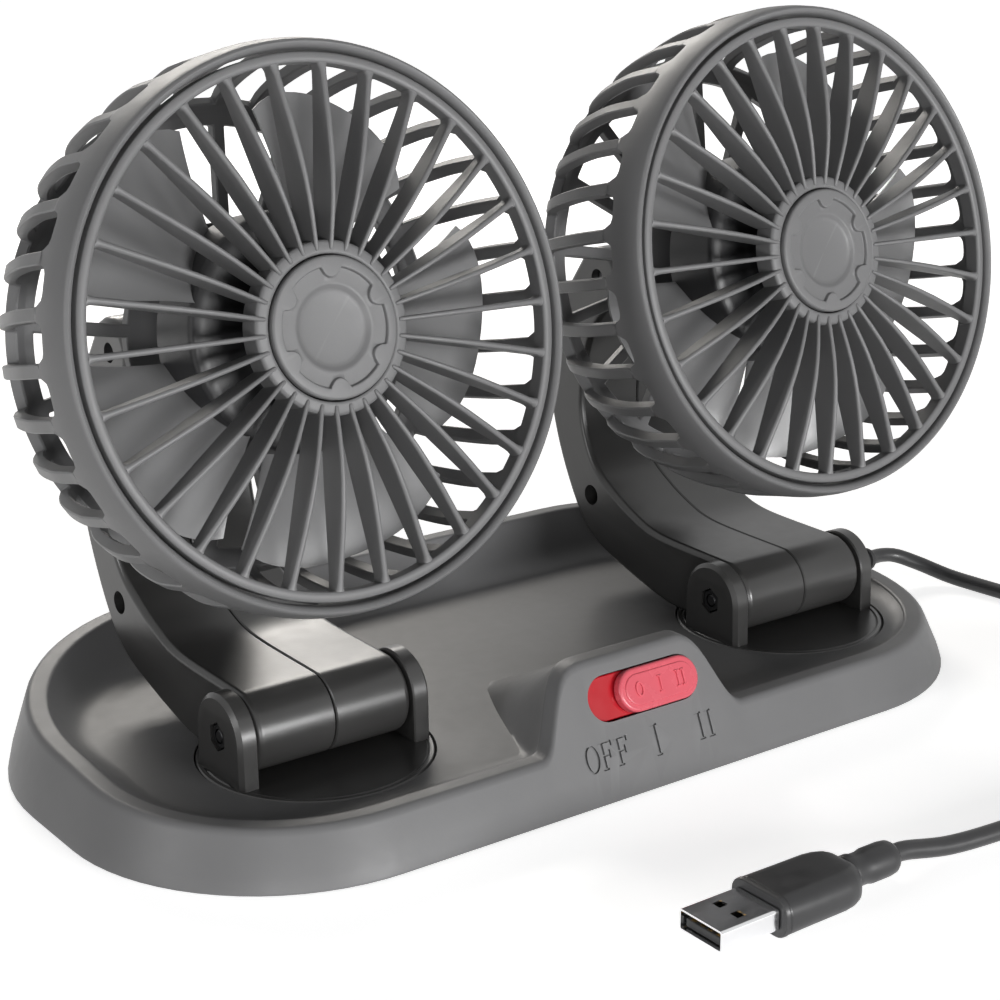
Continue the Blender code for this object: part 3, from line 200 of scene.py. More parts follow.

# %% [markdown]
# Moulded finishes
#
# Most of the fan is injection-moulded plastic. Its mould is spark-eroded or blasted, which leaves a fine
# even grain, and the colour clouds very slightly where the melt cooled at different speeds. One helper
# gives that look to every colour: noise in the object's own space drives a fine bump, a mild drift of the
# colour and a drift of the gloss. It also paints the sharp edges a shade lighter: a painted highlight.
# Painting textures by hand would need unwrapped surfaces on every piece and would show seams.

# %% Finish helper
GRAIN_DEPTH = 0.00006
CLOUD_SCALE = 42
GLOSS_SCALE = 300
# Where pointiness counts as a sharp edge, and the grey added there: a painted highlight.
EDGE_START = 0.52
EDGE_END = 0.60
EDGE_HIGHLIGHT_LIFT = 0.04


def moulded(name, colour, roughness, grain=0.7, relief=0.25, cloud=0.05, edge_highlight=0.10, drift=0.02, shine=0.5):
    """A moulded surface. Grain is the width of its pebbles in millimetres."""
    material = bpy.data.materials.new(name)
    material.use_nodes = True
    nodes, links = material.node_tree.nodes, material.node_tree.links
    shader = nodes["Principled BSDF"]
    shader.inputs["Specular IOR Level"].default_value = shine
    place = nodes.new("ShaderNodeTexCoord")

    def noise(scale, detail):
        speckle = nodes.new("ShaderNodeTexNoise")
        speckle.inputs["Scale"].default_value = scale
        speckle.inputs["Detail"].default_value = detail
        links.new(place.outputs["Object"], speckle.inputs["Vector"])
        return speckle.outputs["Fac"]

    def between(value, start, end, low, high):
        span = nodes.new("ShaderNodeMapRange")
        span.inputs["From Min"].default_value = start
        span.inputs["From Max"].default_value = end
        span.inputs["To Min"].default_value = low
        span.inputs["To Max"].default_value = high
        links.new(value, span.inputs["Value"])
        return span.outputs["Result"]

    def mixed(factor, first, second):
        mix = nodes.new("ShaderNodeMix")
        mix.data_type = "RGBA"
        links.new(factor, mix.inputs["Factor"])
        for socket, value in ((mix.inputs["A"], first), (mix.inputs["B"], second)):
            if isinstance(value, tuple):
                socket.default_value = (*value, 1)
            else:
                links.new(value, socket)
        return mix.outputs["Result"]

    low = tuple(c * (1 - cloud) for c in colour)
    high = tuple(min(1.0, c * (1 + cloud)) for c in colour)
    # Painted highlight: the lighter colour given to sharp edges.
    highlighted_edge = tuple(min(1.0, c * (1 + edge_highlight) + edge_highlight * EDGE_HIGHLIGHT_LIFT) for c in colour)
    clouds = noise(CLOUD_SCALE, 4)
    tone = mixed(between(clouds, 0.3, 0.7, 0, 1), low, high)
    edges = nodes.new("ShaderNodeNewGeometry")
    # Sharp edges, found by pointiness, are mixed towards the painted highlight colour.
    tone = mixed(between(edges.outputs["Pointiness"], EDGE_START, EDGE_END, 0, 1), tone, highlighted_edge)
    links.new(tone, shader.inputs["Base Color"])
    gloss = between(noise(GLOSS_SCALE, 3), 0.3, 0.7, roughness - drift, roughness + drift)
    links.new(gloss, shader.inputs["Roughness"])
    bump = nodes.new("ShaderNodeBump")
    bump.inputs["Strength"].default_value = relief
    bump.inputs["Distance"].default_value = GRAIN_DEPTH
    links.new(noise(1000 / grain, 3), bump.inputs["Height"])
    links.new(bump.outputs["Normal"], shader.inputs["Normal"])
    return material

print("mould grain", GRAIN_DEPTH, "m deep")

# %% Moulded colours
# Each finish may lighten its sharp edges by a share of its colour: a painted highlight.
GREY = moulded("grey_moulding", (0.140, 0.140, 0.142), 0.44, shine=0.34)
DARK = moulded("dark_moulding", (0.026, 0.0255, 0.025), 0.30, relief=0.12, edge_highlight=0.35, shine=0.55)
LIGHT_GREY = moulded("blade_moulding", (0.17, 0.17, 0.172), 0.32, relief=0.15)
BLACK = moulded("black_moulding", (0.016, 0.016, 0.017), 0.42, relief=0.2)
print("moulded finishes:", GREY.name, DARK.name, LIGHT_GREY.name, BLACK.name)

# %% [markdown]
# Finishes of the small pieces
#
# The switch is a glossier coloured plastic whose slot lies deeper in a darker red. The lead has a satin
# PVC skin with hardly any grain. The pad and the sleeve are soft rubber, matt and clouded in tone, with a
# strong painted highlight on their edges. Screws and the plug's shell are metal: brushed noise stretched
# along one direction makes their fine drawing marks.

# %% Switch, rubber and lead
# The seventh value lightens the sharp edges of each finish: a painted highlight, strongest on the rubber.
PINK_RED = moulded("switch_red", (0.60, 0.085, 0.115), 0.26, 1.2, 0.06, 0.03, 0.10, 0.04)
DEEP_RED = moulded("slot_red", (0.42, 0.004, 0.012), 0.24, 1.2, 0.06, 0.05, 0.05, 0.04)
RUBBER = moulded("soft_rubber", (0.022, 0.022, 0.023), 0.75, 0.5, 0.5, 0.12, 0.5, 0.08)
LEAD = moulded("lead_skin", (0.019, 0.019, 0.020), 0.40, 0.9, 0.15, 0.08, 0.3, 0.06)
BOARD = moulded("board_green", (0.02, 0.12, 0.05), 0.40, 0.6, 0.2, 0.10, 0.1, 0.05)
print("small pieces:", PINK_RED.name, DEEP_RED.name, RUBBER.name, LEAD.name, BOARD.name)

# %% Metals
SCRATCH_SCALE = 900
SCRATCH_DEPTH = 0.00002


def drawn_metal(name, colour, roughness, stretch, scratch):
    """Metal with fine drawing marks along X."""
    material = bpy.data.materials.new(name)
    material.use_nodes = True
    nodes, links = material.node_tree.nodes, material.node_tree.links
    shader = nodes["Principled BSDF"]
    shader.inputs["Metallic"].default_value = 1.0
    shader.inputs["Base Color"].default_value = (*colour, 1)
    place = nodes.new("ShaderNodeTexCoord")
    squeeze = nodes.new("ShaderNodeMapping")
    squeeze.inputs["Scale"].default_value = stretch
    marks = nodes.new("ShaderNodeTexNoise")
    marks.inputs["Scale"].default_value = SCRATCH_SCALE
    marks.inputs["Detail"].default_value = 4
    span = nodes.new("ShaderNodeMapRange")
    span.inputs["From Min"].default_value = 0.3
    span.inputs["From Max"].default_value = 0.7
    span.inputs["To Min"].default_value = roughness * 0.8
    span.inputs["To Max"].default_value = roughness * 1.3
    bump = nodes.new("ShaderNodeBump")
    bump.inputs["Strength"].default_value = scratch
    bump.inputs["Distance"].default_value = SCRATCH_DEPTH
    links.new(place.outputs["Object"], squeeze.inputs["Vector"])
    links.new(squeeze.outputs["Vector"], marks.inputs["Vector"])
    links.new(marks.outputs["Fac"], span.inputs["Value"])
    links.new(span.outputs["Result"], shader.inputs["Roughness"])
    links.new(marks.outputs["Fac"], bump.inputs["Height"])
    links.new(bump.outputs["Normal"], shader.inputs["Normal"])
    return material


DARK_STEEL = drawn_metal("blackened_steel", (0.045, 0.045, 0.047), 0.35, (1, 1, 1), 0.2)
STEEL = drawn_metal("plated_steel", (0.60, 0.60, 0.62), 0.30, (1, 1, 1), 0.2)
BRIGHT = drawn_metal("bright_shell", (0.86, 0.86, 0.87), 0.16, (0.1, 1, 1), 0.15)
GOLD = drawn_metal("contact_gold", (0.85, 0.58, 0.22), 0.22, (0.1, 1, 1), 0.1)
print("metals:", STEEL.name, BRIGHT.name, GOLD.name)

# %% [markdown]
# Tools for making pieces
#
# Every moulded piece here is one of four things: an outline pressed through a thickness, a profile turned
# round an axis, a skin laid over rings of points, or a sheet with two sides. Each has a small helper that
# fills a bmesh. The helpers of the first cells turn a bmesh into an object, cut holes in it, round its
# edges with a bevel, and hand the piece over: its finish, the body that it moves with and the solids that
# it stands for. Doing these steps by hand for fifty pieces would make them differ from piece to piece.

# %% From a bmesh to an object
FLAT = Matrix.Identity(4)


def loose_object(name, bm, place=FLAT):
    """A bmesh as an object whose points are already in the model's frame."""
    bmesh.ops.transform(bm, matrix=place, verts=bm.verts)
    bmesh.ops.recalc_face_normals(bm, faces=bm.faces)
    mesh = bpy.data.meshes.new(name)
    bm.to_mesh(mesh)
    bm.free()
    thing = bpy.data.objects.new(name, mesh)
    scene.collection.objects.link(thing)
    return thing


def carved(thing, cutters):
    """Cuts the other objects out of this one for good and throws them away."""
    for cutter in cutters:
        cut = thing.modifiers.new(cutter.name, "BOOLEAN")
        cut.operation = "DIFFERENCE"
        cut.solver = "EXACT"
        cut.use_self = True
        cut.object = cutter
    settle_shape(thing)
    for cutter in cutters:
        bpy.data.objects.remove(cutter, do_unlink=True)
    return thing


def settle_shape(thing):
    """Applies what the modifiers make, so that later steps work on a plain mesh."""
    graph = bpy.context.evaluated_depsgraph_get()
    made = bpy.data.meshes.new_from_object(thing.evaluated_get(graph))
    thing.modifiers.clear()
    old = thing.data
    thing.data = made
    made.name = thing.name
    bpy.data.meshes.remove(old)
    return thing

print("a bmesh becomes an object and is cut by three helpers")

# %% Rounding and handing over
def rounded(thing, width, segments=2, angle=50):
    """Rounds the sharp edges, as a mould does."""
    bevel = thing.modifiers.new("rounding", "BEVEL")
    bevel.width = width
    bevel.segments = segments
    bevel.limit_method = "ANGLE"
    bevel.angle_limit = radians(angle)
    return thing


def handed(thing, finish, body, nodes=(), sharp=38):
    """The finished piece: shaded, coloured, riding on its body and standing for its solids."""
    if thing.type == "MESH":
        thing.data.materials.clear()
        thing.data.materials.append(finish)
        thing.data.shade_smooth()
        thing.data.set_sharp_from_angle(angle=radians(sharp))
        even = thing.modifiers.new("even_shading", "WEIGHTED_NORMAL")
        even.keep_sharp = True
    else:
        thing.data.materials.append(finish)
    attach(thing, body)
    if nodes:
        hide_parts(*nodes)
    return thing

print("pieces are rounded and handed over by two helpers")

# %% Outlines
CURVE_STEPS = 16


def arc(middle, radius, start, end, steps):
    """Points on an arc, its angles in degrees."""
    angles = [radians(start + (end - start) * i / steps) for i in range(steps + 1)]
    return [(middle[0] + radius * cos(a), middle[1] + radius * sin(a)) for a in angles]


def circle(radius, steps):
    return arc((0, 0), radius, 0, 360 - 360 / steps, steps - 1)


def stadium(length, width, steps):
    """A slot's outline: two half circles joined by straight sides."""
    half = (length - width) / 2
    return arc((half, 0), width / 2, -90, 90, steps) + arc((-half, 0), width / 2, 90, 270, steps)


def curved(points, spacing, closed=False):
    """Evenly spaced points on a smooth curve through the given ones."""
    fixed = [Vector(p) for p in points]
    if closed:
        fixed = [fixed[-1], *fixed, fixed[0], fixed[1]]
    else:
        fixed = [2 * fixed[0] - fixed[1], *fixed, 2 * fixed[-1] - fixed[-2]]
    fine = []
    for a, b, c, d in zip(fixed, fixed[1:], fixed[2:], fixed[3:]):
        for i in range(CURVE_STEPS):
            t = i / CURVE_STEPS
            bend = (2 * a - 5 * b + 4 * c - d) * t * t + (3 * b - a - 3 * c + d) * t * t * t
            fine.append((2 * b + (c - a) * t + bend) / 2)
    fine.append(fixed[-2].copy())
    travelled = [0.0]
    for a, b in zip(fine, fine[1:]):
        travelled.append(travelled[-1] + (b - a).length)
    count = max(2, round(travelled[-1] / spacing))
    even, at = [], 0
    for i in range(count if closed else count + 1):
        wanted = travelled[-1] * i / count
        while at < len(fine) - 2 and travelled[at + 1] < wanted:
            at += 1
        step = travelled[at + 1] - travelled[at]
        share = (wanted - travelled[at]) / step if step else 0
        even.append(fine[at].lerp(fine[at + 1], min(1, share)))
    return even

print("outlines: arc, circle, stadium and smooth curve")

# %% Pressed and turned shapes
# Turns a pressed outline so that it stands in the YZ plane and its thickness runs along X.
SIDEWAYS = Matrix(((0, 0, 1, 0), (1, 0, 0, 0), (0, 1, 0, 0), (0, 0, 0, 1)))


def pressed(bm, outline, low, high, place=FLAT):
    """An outline pressed from one level to another."""
    rings = [[bm.verts.new(place @ Vector((x, y, z))) for x, y in outline] for z in (low, high)]
    for i in range(len(outline)):
        j = (i + 1) % len(outline)
        bm.faces.new((rings[0][i], rings[0][j], rings[1][j], rings[1][i]))
    bm.faces.new(rings[0])
    bm.faces.new(rings[1])
    return bm


def turned(bm, profile, steps=96, place=FLAT):
    """A profile of radius and height turned round Z. A closed profile makes a ring."""
    closed = profile[0] == profile[-1]
    points = profile[:-1] if closed else profile
    turns = [tau * i / steps for i in range(steps)]
    rows = []
    for radius, height in points:
        if radius < 1e-7:
            rows.append([bm.verts.new(place @ Vector((0, 0, height)))])
        else:
            ring = [place @ Vector((radius * cos(a), radius * sin(a), height)) for a in turns]
            rows.append([bm.verts.new(p) for p in ring])
    pairs = list(zip(rows, rows[1:])) + ([(rows[-1], rows[0])] if closed else [])
    for first, second in pairs:
        for i in range(steps):
            j = (i + 1) % steps
            corners = [row[k % len(row)] for row, k in ((first, i), (first, j), (second, j), (second, i))]
            face = [c for n, c in enumerate(corners) if c not in corners[:n]]
            if len(face) > 2:
                bm.faces.new(face)
    return bm

print("shapes: pressed and turned")

# %% Lofted and two-sided shapes
def lofted(bm, rings, caps=True):
    """A skin over rings of points, all with the same number."""
    rows = [[bm.verts.new(p) for p in ring] for ring in rings]
    count = len(rows[0])
    for upper, lower in zip(rows, rows[1:]):
        for i in range(count):
            j = (i + 1) % count
            bm.faces.new((upper[i], upper[j], lower[j], lower[i]))
    if caps:
        bm.faces.new(rows[0])
        bm.faces.new(rows[-1])
    return bm


def two_sided(bm, front, back, faces):
    """A sheet with a front and a back. Walls close it along every open edge."""
    tops = [bm.verts.new(p) for p in front]
    lows = [bm.verts.new(p) for p in back]
    sides = set()
    for face in faces:
        bm.faces.new([tops[i] for i in face])
        bm.faces.new([lows[i] for i in reversed(face)])
        sides.update(zip(face, face[1:] + face[:1]))
    for a, b in sides:
        if (b, a) not in sides:
            bm.faces.new((tops[b], tops[a], lows[a], lows[b]))
    return bm

print("shapes: lofted and two-sided")

# %% [markdown]
# The lead
#
# A thin round lead brings 5 V from a USB socket. It leaves the base on the end that the viewer can't see,
# drops to the table, and the length that isn't needed lies there as a flat coil held by a band, out of the
# picture. Only its last stretch, with the plug, comes into view in front. A real lead this soft never
# kinks, so one smooth curve runs through listed points and through the turns of the coil, and a
# round section is laid along it. A chain of cylinders would show its joints.

# %% Route of the lead
LEAD_DIAMETER = 0.004
ROUTE_STEP = 0.0016
COIL_MIDDLE = (0.120, -0.1013)
COIL_INNER = 0.0122
COIL_PITCH = 0.0046
COIL_TURNS = 6.25
TURNS_INWARDS = 3
CLIMB_TURNS = 0.5
LOWER_LAYER = 0.0029
LAYER_STEP = 0.00445
COIL_STEPS = 24


def coil_route():
    """In on the lower layer, a climb where the spiral turns back, and out on the upper layer."""
    points = []
    climb_start = TURNS_INWARDS - CLIMB_TURNS / 2
    for i in range(round(COIL_TURNS * COIL_STEPS) + 1):
        at = i / COIL_STEPS
        radius = COIL_INNER + COIL_PITCH * abs(at - TURNS_INWARDS)
        climbed = min(max((at - climb_start) / CLIMB_TURNS, 0), 1)
        climbed = climbed * climbed * (3 - 2 * climbed)
        x = COIL_MIDDLE[0] + radius * cos(-tau * at)
        y = COIL_MIDDLE[1] + radius * sin(-tau * at)
        points.append((x, y, LOWER_LAYER + LAYER_STEP * climbed))
    return points


FROM_BASE = [
    (0.1258, 0.002, 0.008), (0.1298, 0.002, 0.008), (0.1347, 0.0008, 0.0072),
    (0.1396, -0.0038, 0.0050), (0.1433, -0.0118, 0.0028), (0.1458, -0.0225, 0.0021),
    (0.1476, -0.0355, 0.0020), (0.1484, -0.0500, 0.0020), (0.1478, -0.0680, 0.0020),
    (0.1465, -0.0840, 0.0021), (0.1461, -0.0933, 0.0028),
]
TO_PLUG = [
    (0.112, -0.12845, 0.00735), (0.1050, -0.1284, 0.0061), (0.0960, -0.1277, 0.0034),
    (0.0860, -0.1268, 0.0021), (0.0700, -0.1259, 0.0020), (0.0500, -0.1256, 0.0020),
    (0.0330, -0.1250, 0.0020), (0.0190, -0.1237, 0.0024), (0.0073, -0.1223, 0.0042),
    (0.0030, -0.1223, 0.0042),
]
route = curved(FROM_BASE + coil_route() + TO_PLUG, ROUTE_STEP)
measured = sum((b - a).length for a, b in zip(route, route[1:]))
print("the lead's route has", len(route), "points and measures", round(measured, 4), "m")

# %% Lead
lead_curve = bpy.data.curves.new("lead", "CURVE")
lead_curve.dimensions = "3D"
lead_curve.bevel_depth = LEAD_DIAMETER / 2
lead_curve.bevel_resolution = 4
lead_curve.use_fill_caps = True
line = lead_curve.splines.new("POLY")
line.points.add(len(route) - 1)
for point, place in zip(line.points, route):
    point.co = (*place, 1)
lead = bpy.data.objects.new("lead", lead_curve)
scene.collection.objects.link(lead)
handed(lead, LEAD, "base", ("cord_lead", "cord_coil", "cord_tail"))
print("lead", LEAD_DIAMETER, "m thick")

# %% [markdown]
# The USB plug
#
# The plug's grip is moulded over its inner parts: flat above and below, round at the sides, with a thin
# lip where the mould met the metal shell, and a short thick sleeve behind it that keeps the lead from
# breaking. A box with bevels would give all edges the same radius, so the grip is lofted from rounded
# sections instead, each with its own width, height and corner.

# %% Grip of the plug
PLUG_Y = -0.1223
PLUG_Z = 0.0042


def rounded_section(x, width, height, corner, steps=6):
    """A rounded rectangle that stands across the plug at x."""
    corner = min(corner, width / 2, height / 2)
    ring = []
    for sy, sz, start in ((1, -1, -90), (1, 1, 0), (-1, 1, 90), (-1, -1, 180)):
        middle = (sy * (width / 2 - corner), sz * (height / 2 - corner))
        ring += arc(middle, corner, start, start + 90, steps)
    return [(x, PLUG_Y + y, PLUG_Z + z) for y, z in ring]


# Place along the plug, width, height and corner of each section.
GRIP_SECTIONS = [
    (-0.0330, 0.0150, 0.0076, 0.0026),
    (-0.0328, 0.0156, 0.0082, 0.0030),
    (-0.0320, 0.0158, 0.0084, 0.0031),
    (-0.0318, 0.0154, 0.0080, 0.0030),
    (-0.0315, 0.0154, 0.0080, 0.0030),
    (-0.0313, 0.0158, 0.0084, 0.0034),
    (-0.0240, 0.0158, 0.0084, 0.0036),
    (-0.0160, 0.0157, 0.0084, 0.0036),
    (-0.0135, 0.0150, 0.0083, 0.0036),
    (-0.0118, 0.0136, 0.0081, 0.0035),
    (-0.0108, 0.0116, 0.0077, 0.0034),
    (-0.0105, 0.0104, 0.0072, 0.0032),
]
grip = loose_object("plug_grip", lofted(bmesh.new(), [rounded_section(*s) for s in GRIP_SECTIONS]))
handed(grip, LEAD, "base", ("plug_body",), 50)
print("grip", round(GRIP_SECTIONS[-1][0] - GRIP_SECTIONS[0][0], 4), "m long")

# %% Sleeve behind the grip
ALONG_X = Matrix.Rotation(pi / 2, 4, "Y")
SLEEVE_START = -0.0102
# Radius and height along the lead.
SLEEVE = [
    (0, 0), (0.0033, 0), (0.0037, 0.0006), (0.0037, 0.0020), (0.0034, 0.0030), (0.0034, 0.0052),
    (0.0037, 0.0064), (0.0037, 0.0110), (0.0035, 0.0126), (0.0031, 0.0133), (0.0024, 0.0135), (0, 0.0135),
]
sleeve = turned(bmesh.new(), SLEEVE, 40)
sleeve = loose_object("plug_sleeve", sleeve, Matrix.Translation((SLEEVE_START, PLUG_Y, PLUG_Z)) @ ALONG_X)
handed(sleeve, LEAD, "base", ("plug_relief",), 60)
print("sleeve", SLEEVE[-1][1], "m long")

# %% [markdown]
# Shell, tongue and contacts
#
# The shell is a strip of bright plated steel folded into a flat tube, with two square windows on each
# broad side that catch on springs in the socket. Inside it a black tongue carries four gold contacts.
# A solid bar with painted squares would do from afar, but the thin edge of the metal shows at the mouth,
# so the tube is built hollow and the windows are cut right through it.

# %% Shell
SHELL_FRONT = -0.0478
SHELL_REAR = -0.0333
SHELL_WIDTH = 0.0120
SHELL_HEIGHT = 0.0045
SHELL_CORNER = 0.0006
SHELL_METAL = 0.0004
SHELL_END = 0.0006
WINDOW = 0.0022
WINDOW_SETBACK = 0.0072
WINDOW_SPACING = 0.0050
WINDOW_CUT = 0.0085


def shell_ring(x, metal, corner):
    return rounded_section(x, SHELL_WIDTH - 2 * metal, SHELL_HEIGHT - 2 * metal, corner, 4)


bm = bmesh.new()
outer = [shell_ring(x, 0, SHELL_CORNER) for x in (SHELL_FRONT, SHELL_REAR)]
hole = [shell_ring(x, SHELL_METAL, SHELL_CORNER / 2) for x in (SHELL_FRONT, SHELL_REAR - SHELL_END)]
outside = [[bm.verts.new(p) for p in ring] for ring in outer]
inside = [[bm.verts.new(p) for p in ring] for ring in hole]
sides = len(outer[0])
for i in range(sides):
    j = (i + 1) % sides
    bm.faces.new((outside[0][i], outside[0][j], outside[1][j], outside[1][i]))
    bm.faces.new((inside[0][j], inside[0][i], inside[1][i], inside[1][j]))
    bm.faces.new((outside[0][j], outside[0][i], inside[0][i], inside[0][j]))
bm.faces.new(outside[1])
bm.faces.new(inside[1])
shell = loose_object("plug_shell", bm)
windows = bmesh.new()
for side in (-1, 1):
    middle = (SHELL_FRONT + WINDOW_SETBACK, PLUG_Y + side * WINDOW_SPACING / 2, PLUG_Z)
    size = Matrix.Diagonal((WINDOW, WINDOW, WINDOW_CUT, 1))
    bmesh.ops.create_cube(windows, size=1, matrix=Matrix.Translation(middle) @ size)
carved(shell, [loose_object("shell_windows", windows)])
handed(shell, BRIGHT, "base", ("usb_shell",), 30)
print("shell", round(SHELL_REAR - SHELL_FRONT, 4), "m long")

# %% Tongue and contacts
TONGUE_FRONT = -0.04675
TONGUE_LENGTH = 0.0131
TONGUE_WIDTH = 0.0104
TONGUE_THICK = 0.0017
TONGUE_TOP = 0.00429
CONTACT_SETBACK = 0.00035
CONTACT_WIDTH = 0.0011
CONTACT_THICK = 0.0001
# Place across the tongue and length. The outer two reach further back.
CONTACTS = [(-0.0035, 0.0082), (-0.0010, 0.0072), (0.0010, 0.0072), (0.0035, 0.0082)]

bm = bmesh.new()
middle = (TONGUE_FRONT + TONGUE_LENGTH / 2, PLUG_Y, TONGUE_TOP - TONGUE_THICK / 2)
size = Matrix.Diagonal((TONGUE_LENGTH, TONGUE_WIDTH, TONGUE_THICK, 1))
bmesh.ops.create_cube(bm, size=1, matrix=Matrix.Translation(middle) @ size)
tongue = rounded(loose_object("plug_tongue", bm), 0.0002)
handed(tongue, BLACK, "base", ("usb_tongue",))
bm = bmesh.new()
for across, length in CONTACTS:
    along = TONGUE_FRONT + CONTACT_SETBACK + length / 2
    middle = (along, PLUG_Y + across, TONGUE_TOP + CONTACT_THICK / 2)
    size = Matrix.Diagonal((length, CONTACT_WIDTH, CONTACT_THICK, 1))
    bmesh.ops.create_cube(bm, size=1, matrix=Matrix.Translation(middle) @ size)
contacts = loose_object("plug_contacts", bm)
handed(contacts, GOLD, "base", ())
print("tongue with", len(CONTACTS), "contacts")

# %% [markdown]
# Where the lead leaves the base, and its band
#
# A ribbed rubber sleeve is pushed through the end of the base and grips the lead. Its rings get narrower
# towards the tip, so that it bends more easily there. The band round the coil is a flat rubber strap.
# The sleeve could be stacked from separate rings, but they would meet in hard lines. It is one turned
# profile instead, in which a loop writes the rings, and the band is a sheet between two outlines.

# %% Sleeve at the base
RIGHT_END = 0.1133
GLAND_Y = 0.002
GLAND_Z = 0.008
GLAND_INSIDE = -0.0063
GLAND_NECK = 0.0030
RIDGES = 4
RIDGE_START = 0.0022
RIDGE_PITCH = 0.0024
RIDGE_RADIUS = 0.0036
RIDGE_NARROWING = 0.00018
RIDGE_GROOVE = 0.0006

profile = [
    (0, GLAND_INSIDE), (GLAND_NECK, GLAND_INSIDE), (GLAND_NECK, 0.0002),
    (0.0036, 0.0004), (0.0037, 0.0008), (0.0037, 0.0016),
]
for ridge in range(RIDGES):
    start = RIDGE_START + ridge * RIDGE_PITCH
    radius = RIDGE_RADIUS - ridge * RIDGE_NARROWING
    groove = radius - RIDGE_GROOVE
    profile += [(groove, start), (groove, start + 0.0007), (radius, start + 0.0010), (radius, start + 0.0019)]
profile += [(0.0027, 0.0119), (0.0024, 0.0124), (0.0020, 0.0125), (0, 0.0125)]
gland = turned(bmesh.new(), profile, 40)
gland = loose_object("lead_sleeve", gland, Matrix.Translation((RIGHT_END, GLAND_Y, GLAND_Z)) @ ALONG_X)
handed(gland, RUBBER, "base", ("cord_gland",), 30)
print("sleeve with", RIDGES, "rings")

# %% Band round the coil
BAND_NEAR = 0.0095
BAND_FAR = 0.0300
BAND_LOW = 0.0006
BAND_HIGH = 0.00965
BAND_CORNER = 0.0012
BAND_THICK = 0.0006
BAND_WIDTH = 0.008


def band_ring(grow):
    """A rounded rectangle round the strands of the coil, as Y and Z."""
    corner = BAND_CORNER + grow
    near = BAND_NEAR - grow + corner
    far = BAND_FAR + grow - corner
    low = BAND_LOW - grow + corner
    high = BAND_HIGH + grow - corner
    ring = []
    for y, z, start in ((far, low, -90), (far, high, 0), (near, high, 90), (near, low, 180)):
        ring += arc((y, z), corner, start, start + 90, 6)
    return ring


inner = band_ring(0)
rings = inner + band_ring(BAND_THICK)
count = len(inner)
faces = [(i, (i + 1) % count, count + (i + 1) % count, count + i) for i in range(count)]
front = [(COIL_MIDDLE[0] + BAND_WIDTH / 2, COIL_MIDDLE[1] + y, z) for y, z in rings]
back = [(COIL_MIDDLE[0] - BAND_WIDTH / 2, COIL_MIDDLE[1] + y, z) for y, z in rings]
band = rounded(loose_object("coil_band", two_sided(bmesh.new(), front, back, faces)), 0.00015)
handed(band, RUBBER, "base", ("cord_tie",))
print("band", BAND_WIDTH, "m wide")

# %% [markdown]
# The base
#
# The base is one moulding: a skirt that leans inwards all round, a rounded rim, a dished floor between,
# and at the front a wedge that swells up to carry the switch. A box model pulled about by hand would
# never keep the rim even, so the shape is laid over rings instead. Each point of the outline knows its
# own rim height and how far the inner wall has to run in, and the wedge is only a place along the front
# where both numbers grow. First come the numbers that place the outline.

# %% Outline of the base
BASE_LENGTH = 0.2386
BASE_DEPTH = 0.1294
BASE_MIDDLE = -0.0060
FRONT_RIM = 0.0125
REAR_RIM = 0.0220
RIM_SETBACK = 0.0055
RIM_WIDTH = 0.0050
RIM_ROUND = 0.0015
WALL = 0.0022
TRAY_FLOOR = 0.0102
FOOT = 0.0005
WEDGE_LEFT = -0.0365
WEDGE_WIDTH = 0.0575
WEDGE_HEIGHT = 0.0290
WEDGE_DEPTH = 0.0530
WALL_FOOT = 0.0055
FOOT_EDGE = 0.0006
FLOOR_THICK = 0.0045
# Place along the wedge, how high it has risen there and how deep it reaches back. Its left end is cut
# from flat facets, its right end sweeps down in an S.
WEDGE_SHAPE = [
    (0, 0, 0), (0.02, 0.012, 0.006), (0.04, 0.055, 0.03), (0.06, 0.15, 0.08),
    (0.085, 0.32, 0.17), (0.115, 0.53, 0.28), (0.145, 0.72, 0.39), (0.170, 0.84, 0.48),
    (0.195, 0.925, 0.57), (0.225, 0.975, 0.67), (0.26, 0.995, 0.78), (0.30, 1, 0.90),
    (0.36, 1, 1), (0.50, 1, 1), (0.62, 1, 1), (0.70, 1, 1),
    (0.76, 1, 1), (0.785, 0.975, 0.95), (0.81, 0.93, 0.85), (0.83, 0.87, 0.75),
    (0.85, 0.78, 0.65), (0.87, 0.65, 0.54), (0.89, 0.50, 0.43), (0.91, 0.345, 0.32),
    (0.93, 0.21, 0.23), (0.95, 0.105, 0.15), (0.97, 0.035, 0.08), (0.985, 0.008, 0.03),
    (1, 0, 0),
]
ROOM = min(1, (BASE_DEPTH - WALL_FOOT) / 0.110)
CORNERS = [
    (1, -1, 0.050 * ROOM, -90, 0), (1, 1, 0.060 * ROOM, 0, 90),
    (-1, 1, 0.060 * ROOM, 90, 180), (-1, -1, 0.050 * ROOM, 180, 270),
]
CORNER_STEPS = 18
STRAIGHT_STEPS = 6

print("base", BASE_LENGTH, "by", BASE_DEPTH, "m")

